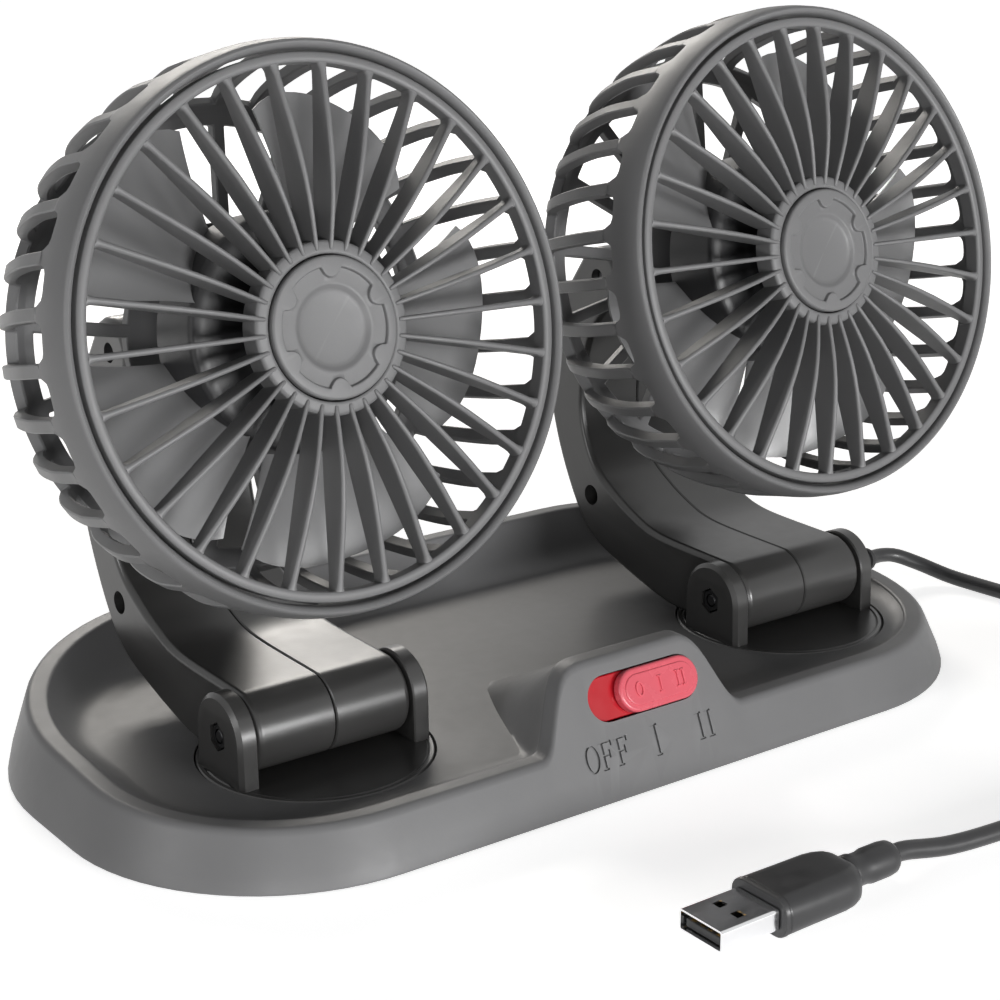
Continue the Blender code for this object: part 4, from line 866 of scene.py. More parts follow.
# %% Places round the outline
def outline_stations():
    """Each station: a function of the inset, and how much of the wedge stands there."""
    stations = []
    half_x, half_y = BASE_LENGTH / 2, BASE_DEPTH / 2

    def on_front(x, rise, depth):
        stations.append((lambda inset, x=x: (x, -half_y + inset), rise, depth))

    def on_corner(corner, angle):
        sx, sy, radius = corner[:3]
        a = radians(angle)

        def at(inset):
            left = max(radius - inset, 0.0005)
            x = BASE_MIDDLE + sx * (half_x - inset - left) + left * cos(a)
            return (x, sy * (half_y - inset - left) + left * sin(a))

        stations.append((at, 0, 0))

    for share, rise, depth in WEDGE_SHAPE:
        on_front(WEDGE_LEFT + WEDGE_WIDTH * share, rise, depth)
    previous = (WEDGE_LEFT + WEDGE_WIDTH, -half_y)
    for number, corner in enumerate(CORNERS):
        radius, start, end = corner[2:]
        first = (
            BASE_MIDDLE + corner[0] * (half_x - radius) + radius * cos(radians(start)),
            corner[1] * (half_y - radius) + radius * sin(radians(start)),
        )
        for i in range(1, STRAIGHT_STEPS):
            share = i / STRAIGHT_STEPS
            x = previous[0] + (first[0] - previous[0]) * share
            y = previous[1] + (first[1] - previous[1]) * share

            def on_side(inset, x=x, y=y, a=radians(start)):
                return (x - inset * cos(a), y - inset * sin(a))

            stations.append((on_side, 0, 0))
        for i in range(CORNER_STEPS + 1):
            on_corner(corner, start + (end - start) * i / CORNER_STEPS)
        previous = (
            BASE_MIDDLE + corner[0] * (half_x - radius) + radius * cos(radians(end)),
            corner[1] * (half_y - radius) + radius * sin(radians(end)),
        )
    for i in range(1, STRAIGHT_STEPS):
        x = previous[0] + (WEDGE_LEFT - previous[0]) * i / STRAIGHT_STEPS
        on_front(x, 0, 0)
    return stations


stations = outline_stations()
print("outline stations:", len(stations))

# %% Rings of the base
def bezier(a, b, c, t):
    """A point on the bow from a to c that b pulls outwards."""
    return tuple(p * (1 - t) ** 2 + 2 * q * t * (1 - t) + r * t * t for p, q, r in zip(a, b, c))


def base_section(at, rise, depth):
    """The closed section of the base at one station, as points in the frame."""
    y = at(0)[1]
    low = FRONT_RIM + (REAR_RIM - FRONT_RIM) * max(0, (y + BASE_DEPTH / 2) / BASE_DEPTH) ** 2
    top = low + (WEDGE_HEIGHT - FRONT_RIM) * rise
    lean = RIM_SETBACK / low
    crest = lean * top
    foot = WALL_FOOT + (low - FRONT_RIM) * 0.8
    plain_end = RIM_SETBACK + RIM_WIDTH + foot
    reach = plain_end + (WEDGE_DEPTH - plain_end) * depth - crest - RIM_WIDTH
    drop = top - TRAY_FLOOR
    sunk = WALL + RIM_ROUND / 2
    lip = (crest + RIM_WIDTH, top - RIM_ROUND * 0.5)
    floor_edge = (crest + RIM_WIDTH + reach, TRAY_FLOOR)
    bulge = (
        lip[0] + reach * (0.36 + 0.16 * rise),
        TRAY_FLOOR + drop * (0.02 + 0.36 * rise),
    )
    wall = [bezier(floor_edge, bulge, lip, i / 10) for i in range(10)]
    inner_edge = (crest + RIM_WIDTH - RIM_ROUND * 0.8, top)
    outer_edge = (crest + RIM_ROUND * 0.9, top)
    skirt_top = (lean * (top - RIM_ROUND), top - RIM_ROUND)
    inner_round = [bezier(lip, (crest + RIM_WIDTH, top), inner_edge, i / 4) for i in range(5)]
    outer_round = [bezier(outer_edge, (crest, top), skirt_top, i / 5) for i in range(6)]
    middle = [(lean * (top - RIM_ROUND) * s, FOOT + (top - RIM_ROUND - FOOT) * s) for s in (0.66, 0.33)]
    profile = wall + inner_round + outer_round + middle + [
        (FOOT_EDGE, FOOT + FOOT_EDGE), (FOOT_EDGE, FOOT), (WALL, FOOT),
        (lean * (top - sunk) + WALL, top - sunk),
        (crest + RIM_WIDTH - WALL, top - sunk),
        (crest + RIM_WIDTH + reach - RIM_ROUND / 2, TRAY_FLOOR - FLOOR_THICK),
    ]
    return [(*at(inset), z) for inset, z in profile]


sections = [base_section(*station) for station in stations]
ring_count = len(sections[0])
bm = bmesh.new()
grid = [[bm.verts.new(p) for p in section] for section in sections]
for i in range(len(grid)):
    j = (i + 1) % len(grid)
    for k in range(ring_count - 1):
        bm.faces.new((grid[i][k], grid[j][k], grid[j][k + 1], grid[i][k + 1]))
bm.faces.new([row[0] for row in grid])
bm.faces.new([row[-1] for row in reversed(grid)])
base = loose_object("base_shell", bm)
print("base rings:", ring_count, "by", len(grid))

# %% [markdown]
# Openings and engraved marks
#
# Round wells let the turntables sit flush in the tray, a slot runs across the wedge for the switch, and
# the three positions of the switch are engraved in the skirt below it. Engraving could be painted on as a
# dark texture, but a real groove catches light on its lower edge, so the letters are cut as thin solid
# prisms that dip three tenths of a millimetre into the leaning face.

# %% Places of the switch and the marks
PIVOT_X = 0.0692
PIVOT_Y = -0.0205
SLOPE = RIM_SETBACK / FRONT_RIM
SKIRT_TURN = Matrix.Rotation(radians(66.25), 4, "X")


def on_skirt(x, z):
    """A frame on the leaning face: X along the base, Y up the slope, Z outwards."""
    return Matrix.Translation((x, -BASE_DEPTH / 2 + SLOPE * z, z)) @ SKIRT_TURN


SWITCH_PLACE = on_skirt(-0.0059, 0.0208)
print("switch at", tuple(round(v, 4) for v in SWITCH_PLACE.translation))

# %% Cut the base
WELL_RADIUS = 0.0264
WELL_FLOOR = 0.0076
BORE_RADIUS = 0.0102
LEAD_HOLE = 0.0033
SLOT_LENGTH = 0.0310
SLOT_WIDTH = 0.0104

cutters = []
for x in (-PIVOT_X, PIVOT_X):
    bm = bmesh.new()
    place = Matrix.Translation((x, PIVOT_Y, 0))
    pressed(bm, circle(WELL_RADIUS, 96), WELL_FLOOR, 0.05, place)
    pressed(bm, circle(BORE_RADIUS, 48), -0.01, 0.02, place)
    cutters.append(loose_object("turntable_well", bm))
hole_place = Matrix.Translation((0.105, GLAND_Y, GLAND_Z)) @ ALONG_X
hole = pressed(bmesh.new(), circle(LEAD_HOLE, 32), -0.02, 0.02, hole_place)
cutters.append(loose_object("lead_hole", hole))
slot = pressed(bmesh.new(), stadium(SLOT_LENGTH, SLOT_WIDTH, 20), -0.02, 0.02, SWITCH_PLACE)
cutters.append(loose_object("switch_slot", slot))
carved(base, cutters)
print("base faces after the openings:", len(base.data.polygons))

# %% Letters of the marks
STEM = 0.00075
HAIRLINE = 0.00042
SERIF_OF_I = 0.00085
SERIF_OF_F = 0.00045
MIDDLE_ARM = 0.62
MIDDLE_ARM_UP = 0.00025
MIDDLE_TIP = 0.0009
UPPER_TIP = 0.0012
MARK_DEPTH = 0.0004
MARK_CLEAR = 0.0015
MARK_HEIGHT = 0.0062
MARK_LEVEL = 0.0100
OVAL_STEPS = 28


def oval(x, half_width, half_height):
    turns = [tau * i / OVAL_STEPS for i in range(OVAL_STEPS)]
    return [(x + half_width * cos(a), half_height * sin(a)) for a in turns]


def letter_o(bm, x, width, place):
    """An upright oval, thick at its sides and thin above and below."""
    half = MARK_HEIGHT / 2
    outlines = (oval(x, width / 2, half), oval(x, width / 2 - STEM, half - HAIRLINE))
    low_out, low_in, high_out, high_in = [
        [bm.verts.new(place @ Vector((*p, level))) for p in outline]
        for level in (-MARK_DEPTH, MARK_CLEAR) for outline in outlines
    ]
    for i in range(OVAL_STEPS):
        j = (i + 1) % OVAL_STEPS
        bm.faces.new((low_out[i], low_out[j], high_out[j], high_out[i]))
        bm.faces.new((low_in[j], low_in[i], high_in[i], high_in[j]))
        bm.faces.new((low_out[j], low_out[i], low_in[i], low_in[j]))
        bm.faces.new((high_out[i], high_out[j], high_in[j], high_in[i]))


def letter_i(bm, height, place):
    """A tall stem with a small serif at each end, drawn as one outline."""
    side = STEM / 2
    serif = SERIF_OF_I
    end = height / 2
    neck = end - HAIRLINE
    outline = [
        (-serif, -end), (serif, -end), (serif, -neck), (side, -neck), (side, neck), (serif, neck),
        (serif, end), (-serif, end), (-serif, neck), (-side, neck), (-side, -neck), (-serif, -neck),
    ]
    pressed(bm, outline, -MARK_DEPTH, MARK_CLEAR, place)


def letter_f(bm, x, width, place):
    """One outline round the stem, the serifs and the two arms of the F."""
    serif = SERIF_OF_F
    end = MARK_HEIGHT / 2
    neck = end - HAIRLINE
    arm = width * MIDDLE_ARM
    up = MIDDLE_ARM_UP
    outline = [
        (-serif, -end), (STEM + serif, -end), (STEM + serif, -neck), (STEM, -neck),
        (STEM, up - HAIRLINE), (arm, up - HAIRLINE), (arm, up - MIDDLE_TIP),
        (arm + HAIRLINE, up - MIDDLE_TIP), (arm + HAIRLINE, up + MIDDLE_TIP), (arm, up + MIDDLE_TIP),
        (arm, up), (STEM, up), (STEM, neck), (width - HAIRLINE, neck),
        (width - HAIRLINE, end - UPPER_TIP), (width, end - UPPER_TIP), (width, end),
        (-serif, end), (-serif, neck), (0, neck), (0, -neck), (-serif, -neck),
    ]
    pressed(bm, [(x + px, py) for px, py in outline], -MARK_DEPTH, MARK_CLEAR, place)

print("letters", MARK_HEIGHT, "m high")

# %% Engrave the marks
bm = bmesh.new()
off_place = on_skirt(-0.0199, MARK_LEVEL)
letter_o(bm, -0.0041, 0.0040, off_place)
letter_f(bm, -0.0013, 0.0031, off_place)
letter_f(bm, 0.0030, 0.0031, off_place)
letter_i(bm, MARK_HEIGHT * 1.15, on_skirt(-0.0058, MARK_LEVEL))
for x in (0.0070, 0.0098):
    letter_i(bm, MARK_HEIGHT, on_skirt(x, MARK_LEVEL))
carved(base, [loose_object("engraving", bm)])
handed(base, GREY, "base", ("base_housing",), 32)
print("base faces after the marks:", len(base.data.polygons))

# %% [markdown]
# The slide switch
#
# The knob is a pink-red stadium of glossy plastic in a longer slot. Its top carries a raised plateau with
# the positions 0, I and II standing on it, and beside it the slot's deep red lining shows. The knob could
# be a flat disc with a decal, but its soft raised rim is what makes it read as a switch, so the plateau
# and the figures are pressed as solids of their own and joined to the knob.

# %% Knob
KNOB_SHIFT = 0.0039
KNOB_LENGTH = 0.0226
KNOB_WIDTH = 0.0098
KNOB_BACK = -0.0009
KNOB_FACE = 0.0012
KNOB_EDGE = 0.0007
PLATEAU_LENGTH = 0.0196
PLATEAU_WIDTH = 0.0070
PLATEAU_BACK = 0.0009
PLATEAU_FACE = 0.0015
PLATEAU_EDGE = 0.0003
STEM_LENGTH = 0.0030
STEM_WIDTH = 0.0020
FIGURE_BACK = 0.0014
FIGURE_FACE = 0.0018
FIGURE_HALF = 0.0017
FIGURE_LINE = 0.0004
SERIF_LINE = 0.0003
SERIF_HALF = 0.0006
ZERO_X = -0.0060
ZERO_HALF = 0.0011
ZERO_STEPS = 24
KNOB_PLACE = SWITCH_PLACE @ Matrix.Translation((KNOB_SHIFT, 0, 0))


def cushioned(bm, length, width, low, high, edge):
    """A stadium whose upper edge is rounded in four steps."""
    turns = [pi / 2 * step / 4 for step in range(5)]
    levels = [(0, low)] + [(edge * (1 - cos(a)), high - edge * (1 - sin(a))) for a in turns]
    rings = []
    for inset, z in levels:
        outline = stadium(length - 2 * inset, width - 2 * inset, 18)
        rings.append([KNOB_PLACE @ Vector((x, y, z)) for x, y in outline])
    return lofted(bm, rings)


def bar(bm, x, y, width, height):
    """A short flat bar of a figure, round its middle."""
    w, h = width / 2, height / 2
    outline = [(x - w, y - h), (x + w, y - h), (x + w, y + h), (x - w, y + h)]
    pressed(bm, outline, FIGURE_BACK, FIGURE_FACE, KNOB_PLACE)


def raised_zero(bm):
    """The 0 as a ring of short pieces."""
    for i in range(ZERO_STEPS):
        a = tau * i / ZERO_STEPS
        b = tau * (i + 1) / ZERO_STEPS
        piece = []
        for turn, line in ((a, 0), (b, 0), (b, FIGURE_LINE), (a, FIGURE_LINE)):
            piece.append((ZERO_X + (ZERO_HALF - line) * cos(turn), (FIGURE_HALF - line) * sin(turn)))
        pressed(bm, piece, FIGURE_BACK, FIGURE_FACE, KNOB_PLACE)


bm = bmesh.new()
cushioned(bm, KNOB_LENGTH, KNOB_WIDTH, KNOB_BACK, KNOB_FACE, KNOB_EDGE)
pressed(bm, stadium(STEM_LENGTH, STEM_WIDTH, 8), -0.0050, -0.0008, KNOB_PLACE)
cushioned(bm, PLATEAU_LENGTH, PLATEAU_WIDTH, PLATEAU_BACK, PLATEAU_FACE, PLATEAU_EDGE)
raised_zero(bm)
for x in (0.0, 0.0050, 0.0066):
    bar(bm, x, 0, FIGURE_LINE, 2 * FIGURE_HALF)
    for y in (-FIGURE_HALF, FIGURE_HALF):
        bar(bm, x, y, 2 * SERIF_HALF, SERIF_LINE)
knob = loose_object("knob", bm)
handed(knob, PINK_RED, "switch", ("switch_knob",), 30)
print("knob", KNOB_LENGTH, "m long")

# %% Lining of the slot
LINING_LENGTH = 0.0306
LINING_WIDTH = 0.0100
LINING_BACK = -0.0040
LINING_FACE = -0.0012
STEM_TRAVEL = 0.0130
STEM_GAP = 0.0032

outline = stadium(LINING_LENGTH, LINING_WIDTH, 20)
lining = pressed(bmesh.new(), outline, LINING_BACK, LINING_FACE, SWITCH_PLACE)
lining = loose_object("slot_lining", lining)
stem_gap = pressed(bmesh.new(), stadium(STEM_TRAVEL, STEM_GAP, 12), -0.0060, 0.0, SWITCH_PLACE)
carved(lining, [loose_object("stem_gap", stem_gap)])
rounded(lining, 0.0003, 2)
handed(lining, DEEP_RED, "base", ("switch_liner",))
print("lining", -LINING_FACE, "m below the wedge's face")

# %% [markdown]
# Turntables
#
# Each arm stands on a round plate that turns in the tray's floor. Two ears rise from the plate and hold
# the arm's barrel between them on a bolt. On the real fan each ear's outer edge is chamfered, and the
# left ear has a hexagonal pocket that keeps the nut from turning. An ear is pressed from a side outline
# in a core with full size and lofted to a slightly smaller face outside, which gives the chamfer.

# %% Sizes of the turntable
SIDES = (("left", -1), ("right", 1))
BARREL_HEIGHT = 0.0196
EAR_SPAN = 0.048
EAR_THICKNESS = 0.0044
EAR_RADIUS = 0.0094
EAR_FOOT = 0.0090
EAR_CHAMFER = 0.0010
EAR_CHAMFER_DEPTH = 0.0009
EAR_SOFT = 0.0003
BOLT_HOLE = 0.0018
HEAD_POCKET = 0.0034
HEAD_POCKET_DEPTH = 0.0021
NUT_POCKET = 0.0058
NUT_POCKET_DEPTH = 0.0025
# Radius and height of the plate, with its fine groove near the edge, and of the hub below it.
PLATE_PROFILE = [
    (0, 0.0079), (0.0258, 0.0079), (0.0261, 0.0082), (0.0261, 0.0098), (0.0257, 0.0102),
    (0.0249, 0.01023), (0.0246, 0.0100), (0.0243, 0.0102), (0, 0.0102),
]
HUB_PROFILE = [(0, 0.0053), (0.0096, 0.0053), (0.0099, 0.0056), (0.0099, 0.0080), (0, 0.0080)]

print("ears", EAR_SPAN, "m apart outside")

# %% Turntable
def ear_outline(radius):
    """Round above the bolt, with legs that run down into the plate."""
    foot_half = radius + EAR_SOFT
    return arc((0, BARREL_HEIGHT), radius, 0, 180, 28) + [(-foot_half, EAR_FOOT), (foot_half, EAR_FOOT)]


def ear(bm, way, place):
    """From the chamfered outer face to the inner one."""
    outer = way * EAR_SPAN / 2
    levels = [
        (outer, EAR_RADIUS - EAR_CHAMFER), (outer - way * EAR_CHAMFER_DEPTH, EAR_RADIUS),
        (outer - way * (EAR_THICKNESS - EAR_SOFT), EAR_RADIUS),
        (outer - way * EAR_THICKNESS, EAR_RADIUS - EAR_SOFT),
    ]
    lofted(bm, [[place @ Vector((x, y, z)) for y, z in ear_outline(radius)] for x, radius in levels])


def turntable(side, sign):
    place = Matrix.Translation((sign * PIVOT_X, PIVOT_Y, 0))
    bm = bmesh.new()
    turned(bm, PLATE_PROFILE, 96, place)
    turned(bm, HUB_PROFILE, 48, place)
    for way in (-1, 1):
        ear(bm, way, place)
    piece = loose_object(f"turntable_plate_{side}", bm)
    holes = bmesh.new()
    bolt_line = place @ Matrix.Translation((0, 0, BARREL_HEIGHT)) @ ALONG_X
    pressed(holes, circle(BOLT_HOLE, 24), -0.04, 0.04, bolt_line)
    pressed(holes, circle(HEAD_POCKET, 32), EAR_SPAN / 2 - HEAD_POCKET_DEPTH, 0.03, bolt_line)
    hexagon = circle(NUT_POCKET / 2 / cos(pi / 6), 6)
    pressed(holes, hexagon, -0.03, -EAR_SPAN / 2 + NUT_POCKET_DEPTH, bolt_line)
    carved(piece, [loose_object("bolt_hole", holes)])
    return handed(piece, DARK, f"swivel_{side}", (f"turntable_{side}",), 28)


for side, sign in SIDES:
    turntable(side, sign)
print("two turntables,", round(2 * PLATE_PROFILE[2][0], 4), "m across")

# %% [markdown]
# Bolt and nut
#
# A bolt runs through the ears and the barrel. Its round head sits in the right ear with a cross recess,
# and its end shows dark in the middle of the nut on the left, where a screwdriver doesn't go. Plain
# cylinders would be enough for the size, but the six flats and the cross are what tells a nut from a pin,
# so the nut's rings have six corners and the cross is cut into the head.

# %% Sizes of the bolt and nut
# Radius and height along the bolt, whose end is chamfered.
BOLT_PROFILE = [(0, -0.0236), (0.0012, -0.0236), (0.0015, -0.0233), (0.0015, 0.0223), (0, 0.0223)]
BOLT_HEAD_AT = 0.0222
BOLT_HEAD_RADIUS = 0.0029
BOLT_HEAD_HEIGHT = 0.0016
NUT_FLATS = 0.0055
NUT_HOLE = 0.00165
# Height of each ring of the nut, and how much its corners are drawn in.
NUT_RINGS = [(-0.0236, -0.0003), (-0.0233, 0), (-0.0218, 0), (-0.0215, -0.0001)]

print("nut", NUT_FLATS, "m across its flats")

# %% Bolt and nut
def recessed_head(bm, radius, height, place):
    """A pan head that stands on Z = 0 and is rounded on top."""
    profile = [
        (0, 0), (radius, 0), (radius, height * 0.45), (radius * 0.93, height * 0.75),
        (radius * 0.72, height * 0.95), (0, height),
    ]
    turned(bm, profile, 32, place)


def cross_recess(place, length, width, depth):
    """Two crossed bars that cut the recess for a screwdriver."""
    bm = bmesh.new()
    for turn in (0, pi / 2):
        one_bar = place @ Matrix.Rotation(turn, 4, "Z") @ Matrix.Diagonal((length, width, depth, 1))
        bmesh.ops.create_cube(bm, size=1, matrix=one_bar)
    return loose_object("cross_recess", bm)


def hinge_bolt(side, sign):
    place = Matrix.Translation((sign * PIVOT_X, PIVOT_Y, BARREL_HEIGHT)) @ ALONG_X
    bm = bmesh.new()
    turned(bm, BOLT_PROFILE, 24, place)
    recessed_head(bm, BOLT_HEAD_RADIUS, BOLT_HEAD_HEIGHT, place @ Matrix.Translation((0, 0, BOLT_HEAD_AT)))
    bolt = loose_object(f"bolt_{side}", bm)
    carved(bolt, [cross_recess(place @ Matrix.Translation((0, 0, 0.0240)), 0.0034, 0.0007, 0.0022)])
    handed(bolt, DARK_STEEL, f"swivel_{side}", (f"hinge_bolt_{side}",), 30)
    rings = []
    for z, grow in NUT_RINGS:
        corner_radius = (NUT_FLATS / 2 + grow) / cos(pi / 6)
        rings.append([place @ Vector((x, y, z)) for x, y in circle(corner_radius, 6)])
    nut = loose_object(f"nut_{side}", lofted(bmesh.new(), rings))
    hole = pressed(bmesh.new(), circle(NUT_HOLE, 24), -0.03, -0.01, place)
    carved(nut, [loose_object("nut_hole", hole)])
    handed(nut, DARK_STEEL, f"swivel_{side}", (f"hinge_nut_{side}",), 30)


for side, sign in SIDES:
    hinge_bolt(side, sign)
print("two hinges bolted")

# %% [markdown]
# Arms
#
# An arm is a pair of hollow-looking halves that meet in the middle, with a soft edge outside and a dark
# seam between. Seen from the side it is a hook: a barrel below, a long foot reaching back, a bend, and a
# column up to the eye that holds the head. The outline below goes once round it. It could be drawn as a
# curve and extruded, but then both faces would have the same edge. Rings that step inwards near the
# outer face give the large soft edge there and leave the seam edge nearly sharp.

# %% Arm outline
ARM_REACH = 0.0718
ARM_BAND = 0.0145
HINGE_BACK = 0.0514
HINGE_UP = 0.0724
BARREL_RADIUS = 0.0090
EYE_RADIUS = 0.0080
ARM_STEP = 0.0016
# Shares of the barrel's radius for the foot, and of the band and the hinge's height for the column.
UNDER_FOOT = ((1.72, -0.955), (2.63, -0.87), (4.23, -0.45), (5.71, 0.10))
REAR_EDGE = ((0.84, 0.125), (0.30, 0.33), (0.02, 0.53), (0.05, 0.72), (0.30, 0.87))
FRONT_EDGE = ((1.28, 0.80), (1.06, 0.66), (1.00, 0.50), (1.19, 0.37), (1.51, 0.28), (2.01, 0.215))
FOOT_TOP = ((4.00, 1.38), (3.26, 1.13), (2.26, 1.03))


def arm_line(inset=0.0):
    """The closed side outline, back and up from the barrel, drawn in by an inset."""
    under = [(BARREL_RADIUS * b, BARREL_RADIUS * u) for b, u in UNDER_FOOT]
    rear = [(ARM_REACH - ARM_BAND * b, HINGE_UP * u) for b, u in REAR_EDGE]
    front = [(ARM_REACH - ARM_BAND * b, HINGE_UP * u) for b, u in FRONT_EDGE]
    top = [(BARREL_RADIUS * b, BARREL_RADIUS * u) for b, u in FOOT_TOP]
    eye = arc((HINGE_BACK, HINGE_UP), EYE_RADIUS, 40, 215, 14)
    barrel = arc((0, 0), BARREL_RADIUS, 90, 270, 14)
    points = barrel + under + rear + eye + front + top
    line = [Vector((p.x, p.y)) for p in curved([(*p, 0) for p in points], ARM_STEP, closed=True)]
    if not inset:
        return [tuple(p) for p in line]
    moved = []
    for i, p in enumerate(line):
        along = (line[(i + 1) % len(line)] - line[i - 1]).normalized()
        moved.append(tuple(p + Vector((-along.y, along.x)) * inset))
    return moved


line = arm_line()
area = sum(a[0] * b[1] - b[0] * a[1] for a, b in zip(line, line[1:] + line[:1])) / 2
INWARD = 1 if area > 0 else -1
print("arm outline:", len(line), "points round", round(abs(area) * 1e4, 1), "cm2")

# %% Sizes of the arm halves
ARM_SIDE = 0.0193
SEAM = 0.00015
SEAM_EDGE = 0.00035
EDGE = 0.0016
EDGE_STEPS = 5
PIN_HOLE = 0.0023
FORK_RADIUS = 0.0105
FORK_HALF = 0.0065
SCREW_BACK = 0.0529
SCREW_UP = 0.0134
SCREW_WELL = 0.0027
SCREW_WELL_DEPTH = 0.011
SCREW_HOLE = 0.0014
THREAD_END = 0.0080
# Radius and height along the screw's shank, which ends in a point.
SCREW_PROFILE = [(0, -0.0070), (0.0011, -0.0070), (0.0011, 0.0070), (0.0005, 0.0078), (0, 0.0078)]
SCREW_HEAD_AT = -0.0069

print("arm", round(2 * ARM_SIDE, 4), "m wide")

# %% Arm halves
def arm_origin(sign):
    return Matrix.Translation((sign * PIVOT_X, PIVOT_Y, BARREL_HEIGHT))


def arm_half(side, sign, way, node):
    """One half, from the seam out to its face. The eye's fork is cut out of both."""
    origin = arm_origin(sign)
    levels = [(SEAM, SEAM_EDGE), (SEAM + 0.0003, 0)]
    for step in range(EDGE_STEPS + 1):
        a = pi / 2 * step / EDGE_STEPS
        levels.append((ARM_SIDE - EDGE + EDGE * sin(a), EDGE * (1 - cos(a))))
    rings = []
    for x, inset in levels:
        rings.append([origin @ Vector((way * x, b, u)) for b, u in arm_line(INWARD * inset)])
    half = loose_object(f"arm_{node}_{side}", lofted(bmesh.new(), rings))
    barrel_hole = pressed(bmesh.new(), circle(BOLT_HOLE, 24), -0.04, 0.04, origin @ ALONG_X)
    eye = origin @ Matrix.Translation((0, HINGE_BACK, HINGE_UP)) @ ALONG_X
    pin_hole = pressed(bmesh.new(), circle(PIN_HOLE, 24), -0.04, 0.04, eye)
    fork = pressed(bmesh.new(), circle(FORK_RADIUS, 48), -FORK_HALF, FORK_HALF, eye)
    screw = origin @ Matrix.Translation((0, SCREW_BACK, SCREW_UP)) @ ALONG_X
    well = bmesh.new()
    if way < 0:
        pressed(well, circle(SCREW_WELL, 32), -0.04, -ARM_SIDE + SCREW_WELL_DEPTH, screw)
        pressed(well, circle(SCREW_HOLE, 24), -0.04, 0.04, screw)
    else:
        pressed(well, circle(SCREW_HOLE, 24), -0.04, THREAD_END, screw)
    carved(half, [
        loose_object("barrel_hole", barrel_hole), loose_object("pin_hole", pin_hole),
        loose_object("fork", fork), loose_object("screw_well", well),
    ])
    return handed(half, DARK, f"arm_{side}", (f"arm_{node}_half_{side}",), 30)


def arm_screw(side, sign):
    """The screw deep in the well on the left, which holds the halves together."""
    place = arm_origin(sign) @ Matrix.Translation((0, SCREW_BACK, SCREW_UP)) @ ALONG_X
    bm = bmesh.new()
    turned(bm, SCREW_PROFILE, 20, place)
    head_side = Matrix.Translation((0, 0, SCREW_HEAD_AT)) @ Matrix.Rotation(pi, 4, "X")
    recessed_head(bm, 0.0024, 0.0011, place @ head_side)
    screw = loose_object(f"joining_screw_{side}", bm)
    return handed(screw, STEEL, f"arm_{side}", (f"arm_screw_{side}",), 30)


for side, sign in SIDES:
    arm_half(side, sign, -1, "outer")
    arm_half(side, sign, 1, "inner")
    arm_screw(side, sign)
print("two arms of two halves")

# %% [markdown]
# Cages
#
# Each head is a round cage that looks up a little. Its front edge is a plain band with a rounded rim. From
# there ribs run back along the side, curl inwards and end in a hoop, and every second rib goes on as a
# spoke to the plate behind the motor. Cutting the slots out of a solid shell with booleans would be slow
# and leave sharp corners. Here the cage is a sheet with an outside and an inside, whose grid has fields
# only where there is plastic, and the slots' rounded front corners come from bending one row of the grid.

# %% Frame of a head
HEAD_FACE = 0.0640
HEAD_TILT = 13


def head_place(sign):
    """Z out through the grille from the head's hinge, Y up."""
    hinge = Matrix.Translation((sign * PIVOT_X, PIVOT_Y + HINGE_BACK, BARREL_HEIGHT + HINGE_UP))
    return hinge @ Matrix.Rotation(radians(90 - HEAD_TILT), 4, "X")


def face_place(sign):
    """The same, from the middle of the grille's face."""
    return head_place(sign) @ Matrix.Translation((0, 0, HEAD_FACE))

print("heads look up by", HEAD_TILT, "degrees")

# %% Rows of the cage
RIBS = 34
RIB_WIDTH = 0.0028
SLOT_COLUMNS = 8
SLOT_START = 0.0078
SLOT_CORNER = 0.0027
CAGE_RADIUS = 0.0590
CAGE_INSIDE = 0.0563
CAGE_THICK = 0.0027
CAGE_BACK = 0.0450
PLATE_RADIUS = 0.0240
KNUCKLE_RADIUS = 0.0070
KNUCKLE_HALF = 0.0062
# Radius and depth behind the face, outside and inside, from the rim to the start of the slots.
RIM_ROWS = [
    ((0.0573, -0.0007), (0.0570, -0.0006)),
    ((0.0577, -0.0005), (0.0565, -0.0003)),
    ((0.0580, 0.0000), (0.0561, 0.0006)),
    ((0.0583, 0.0012), (0.0560, 0.0020)),
    ((0.0587, 0.0032), (0.0560, 0.0045)),
    ((CAGE_RADIUS, 0.0060), (0.0562, 0.0070)),
]
ARCH_ROW = ((CAGE_RADIUS, SLOT_START), (CAGE_INSIDE, SLOT_START))
SIDE_LINE = curved(
    [(CAGE_RADIUS, 0.0105, 0), (CAGE_RADIUS, 0.0160, 0), (0.0588, 0.0215, 0), (0.0575, 0.0290, 0),
     (0.0560, 0.0350, 0), (0.0545, 0.0390, 0), (0.0525, 0.0422, 0), (0.0498, 0.0440, 0)],
    0.0026,
)
# The side's last two rows already belong to the hoop.
HOOP_SIDE_ROWS = 2
HOOP_ROWS = [
    ((0.0480, 0.04455), (0.0478, 0.04180)),
    ((0.0460, 0.04480), (0.0458, 0.04205)),
]
SPOKE_ROWS = [
    ((0.0350, 0.04490), (0.0350, 0.04220)),
    ((PLATE_RADIUS, 0.04500), (PLATE_RADIUS, 0.04230)),
]
# Radius and depth of the plate behind the motor.
MOUNT_PROFILE = [
    (0, -0.0450), (0.0246, -0.0450), (0.0250, -0.0447), (0.0250, -0.0426), (0.0246, -0.0423), (0, -0.0423),
]

print("rows of the cage's side:", len(SIDE_LINE))

# %% Fields of the cage
def inner_side(i):
    """The inside of the rib, one wall thickness square to its outside."""
    before = SIDE_LINE[max(0, i - 1)]
    after = SIDE_LINE[min(len(SIDE_LINE) - 1, i + 1)]
    along = (after - before).normalized()
    return (SIDE_LINE[i].x - along.y * CAGE_THICK, SIDE_LINE[i].y + along.x * CAGE_THICK)


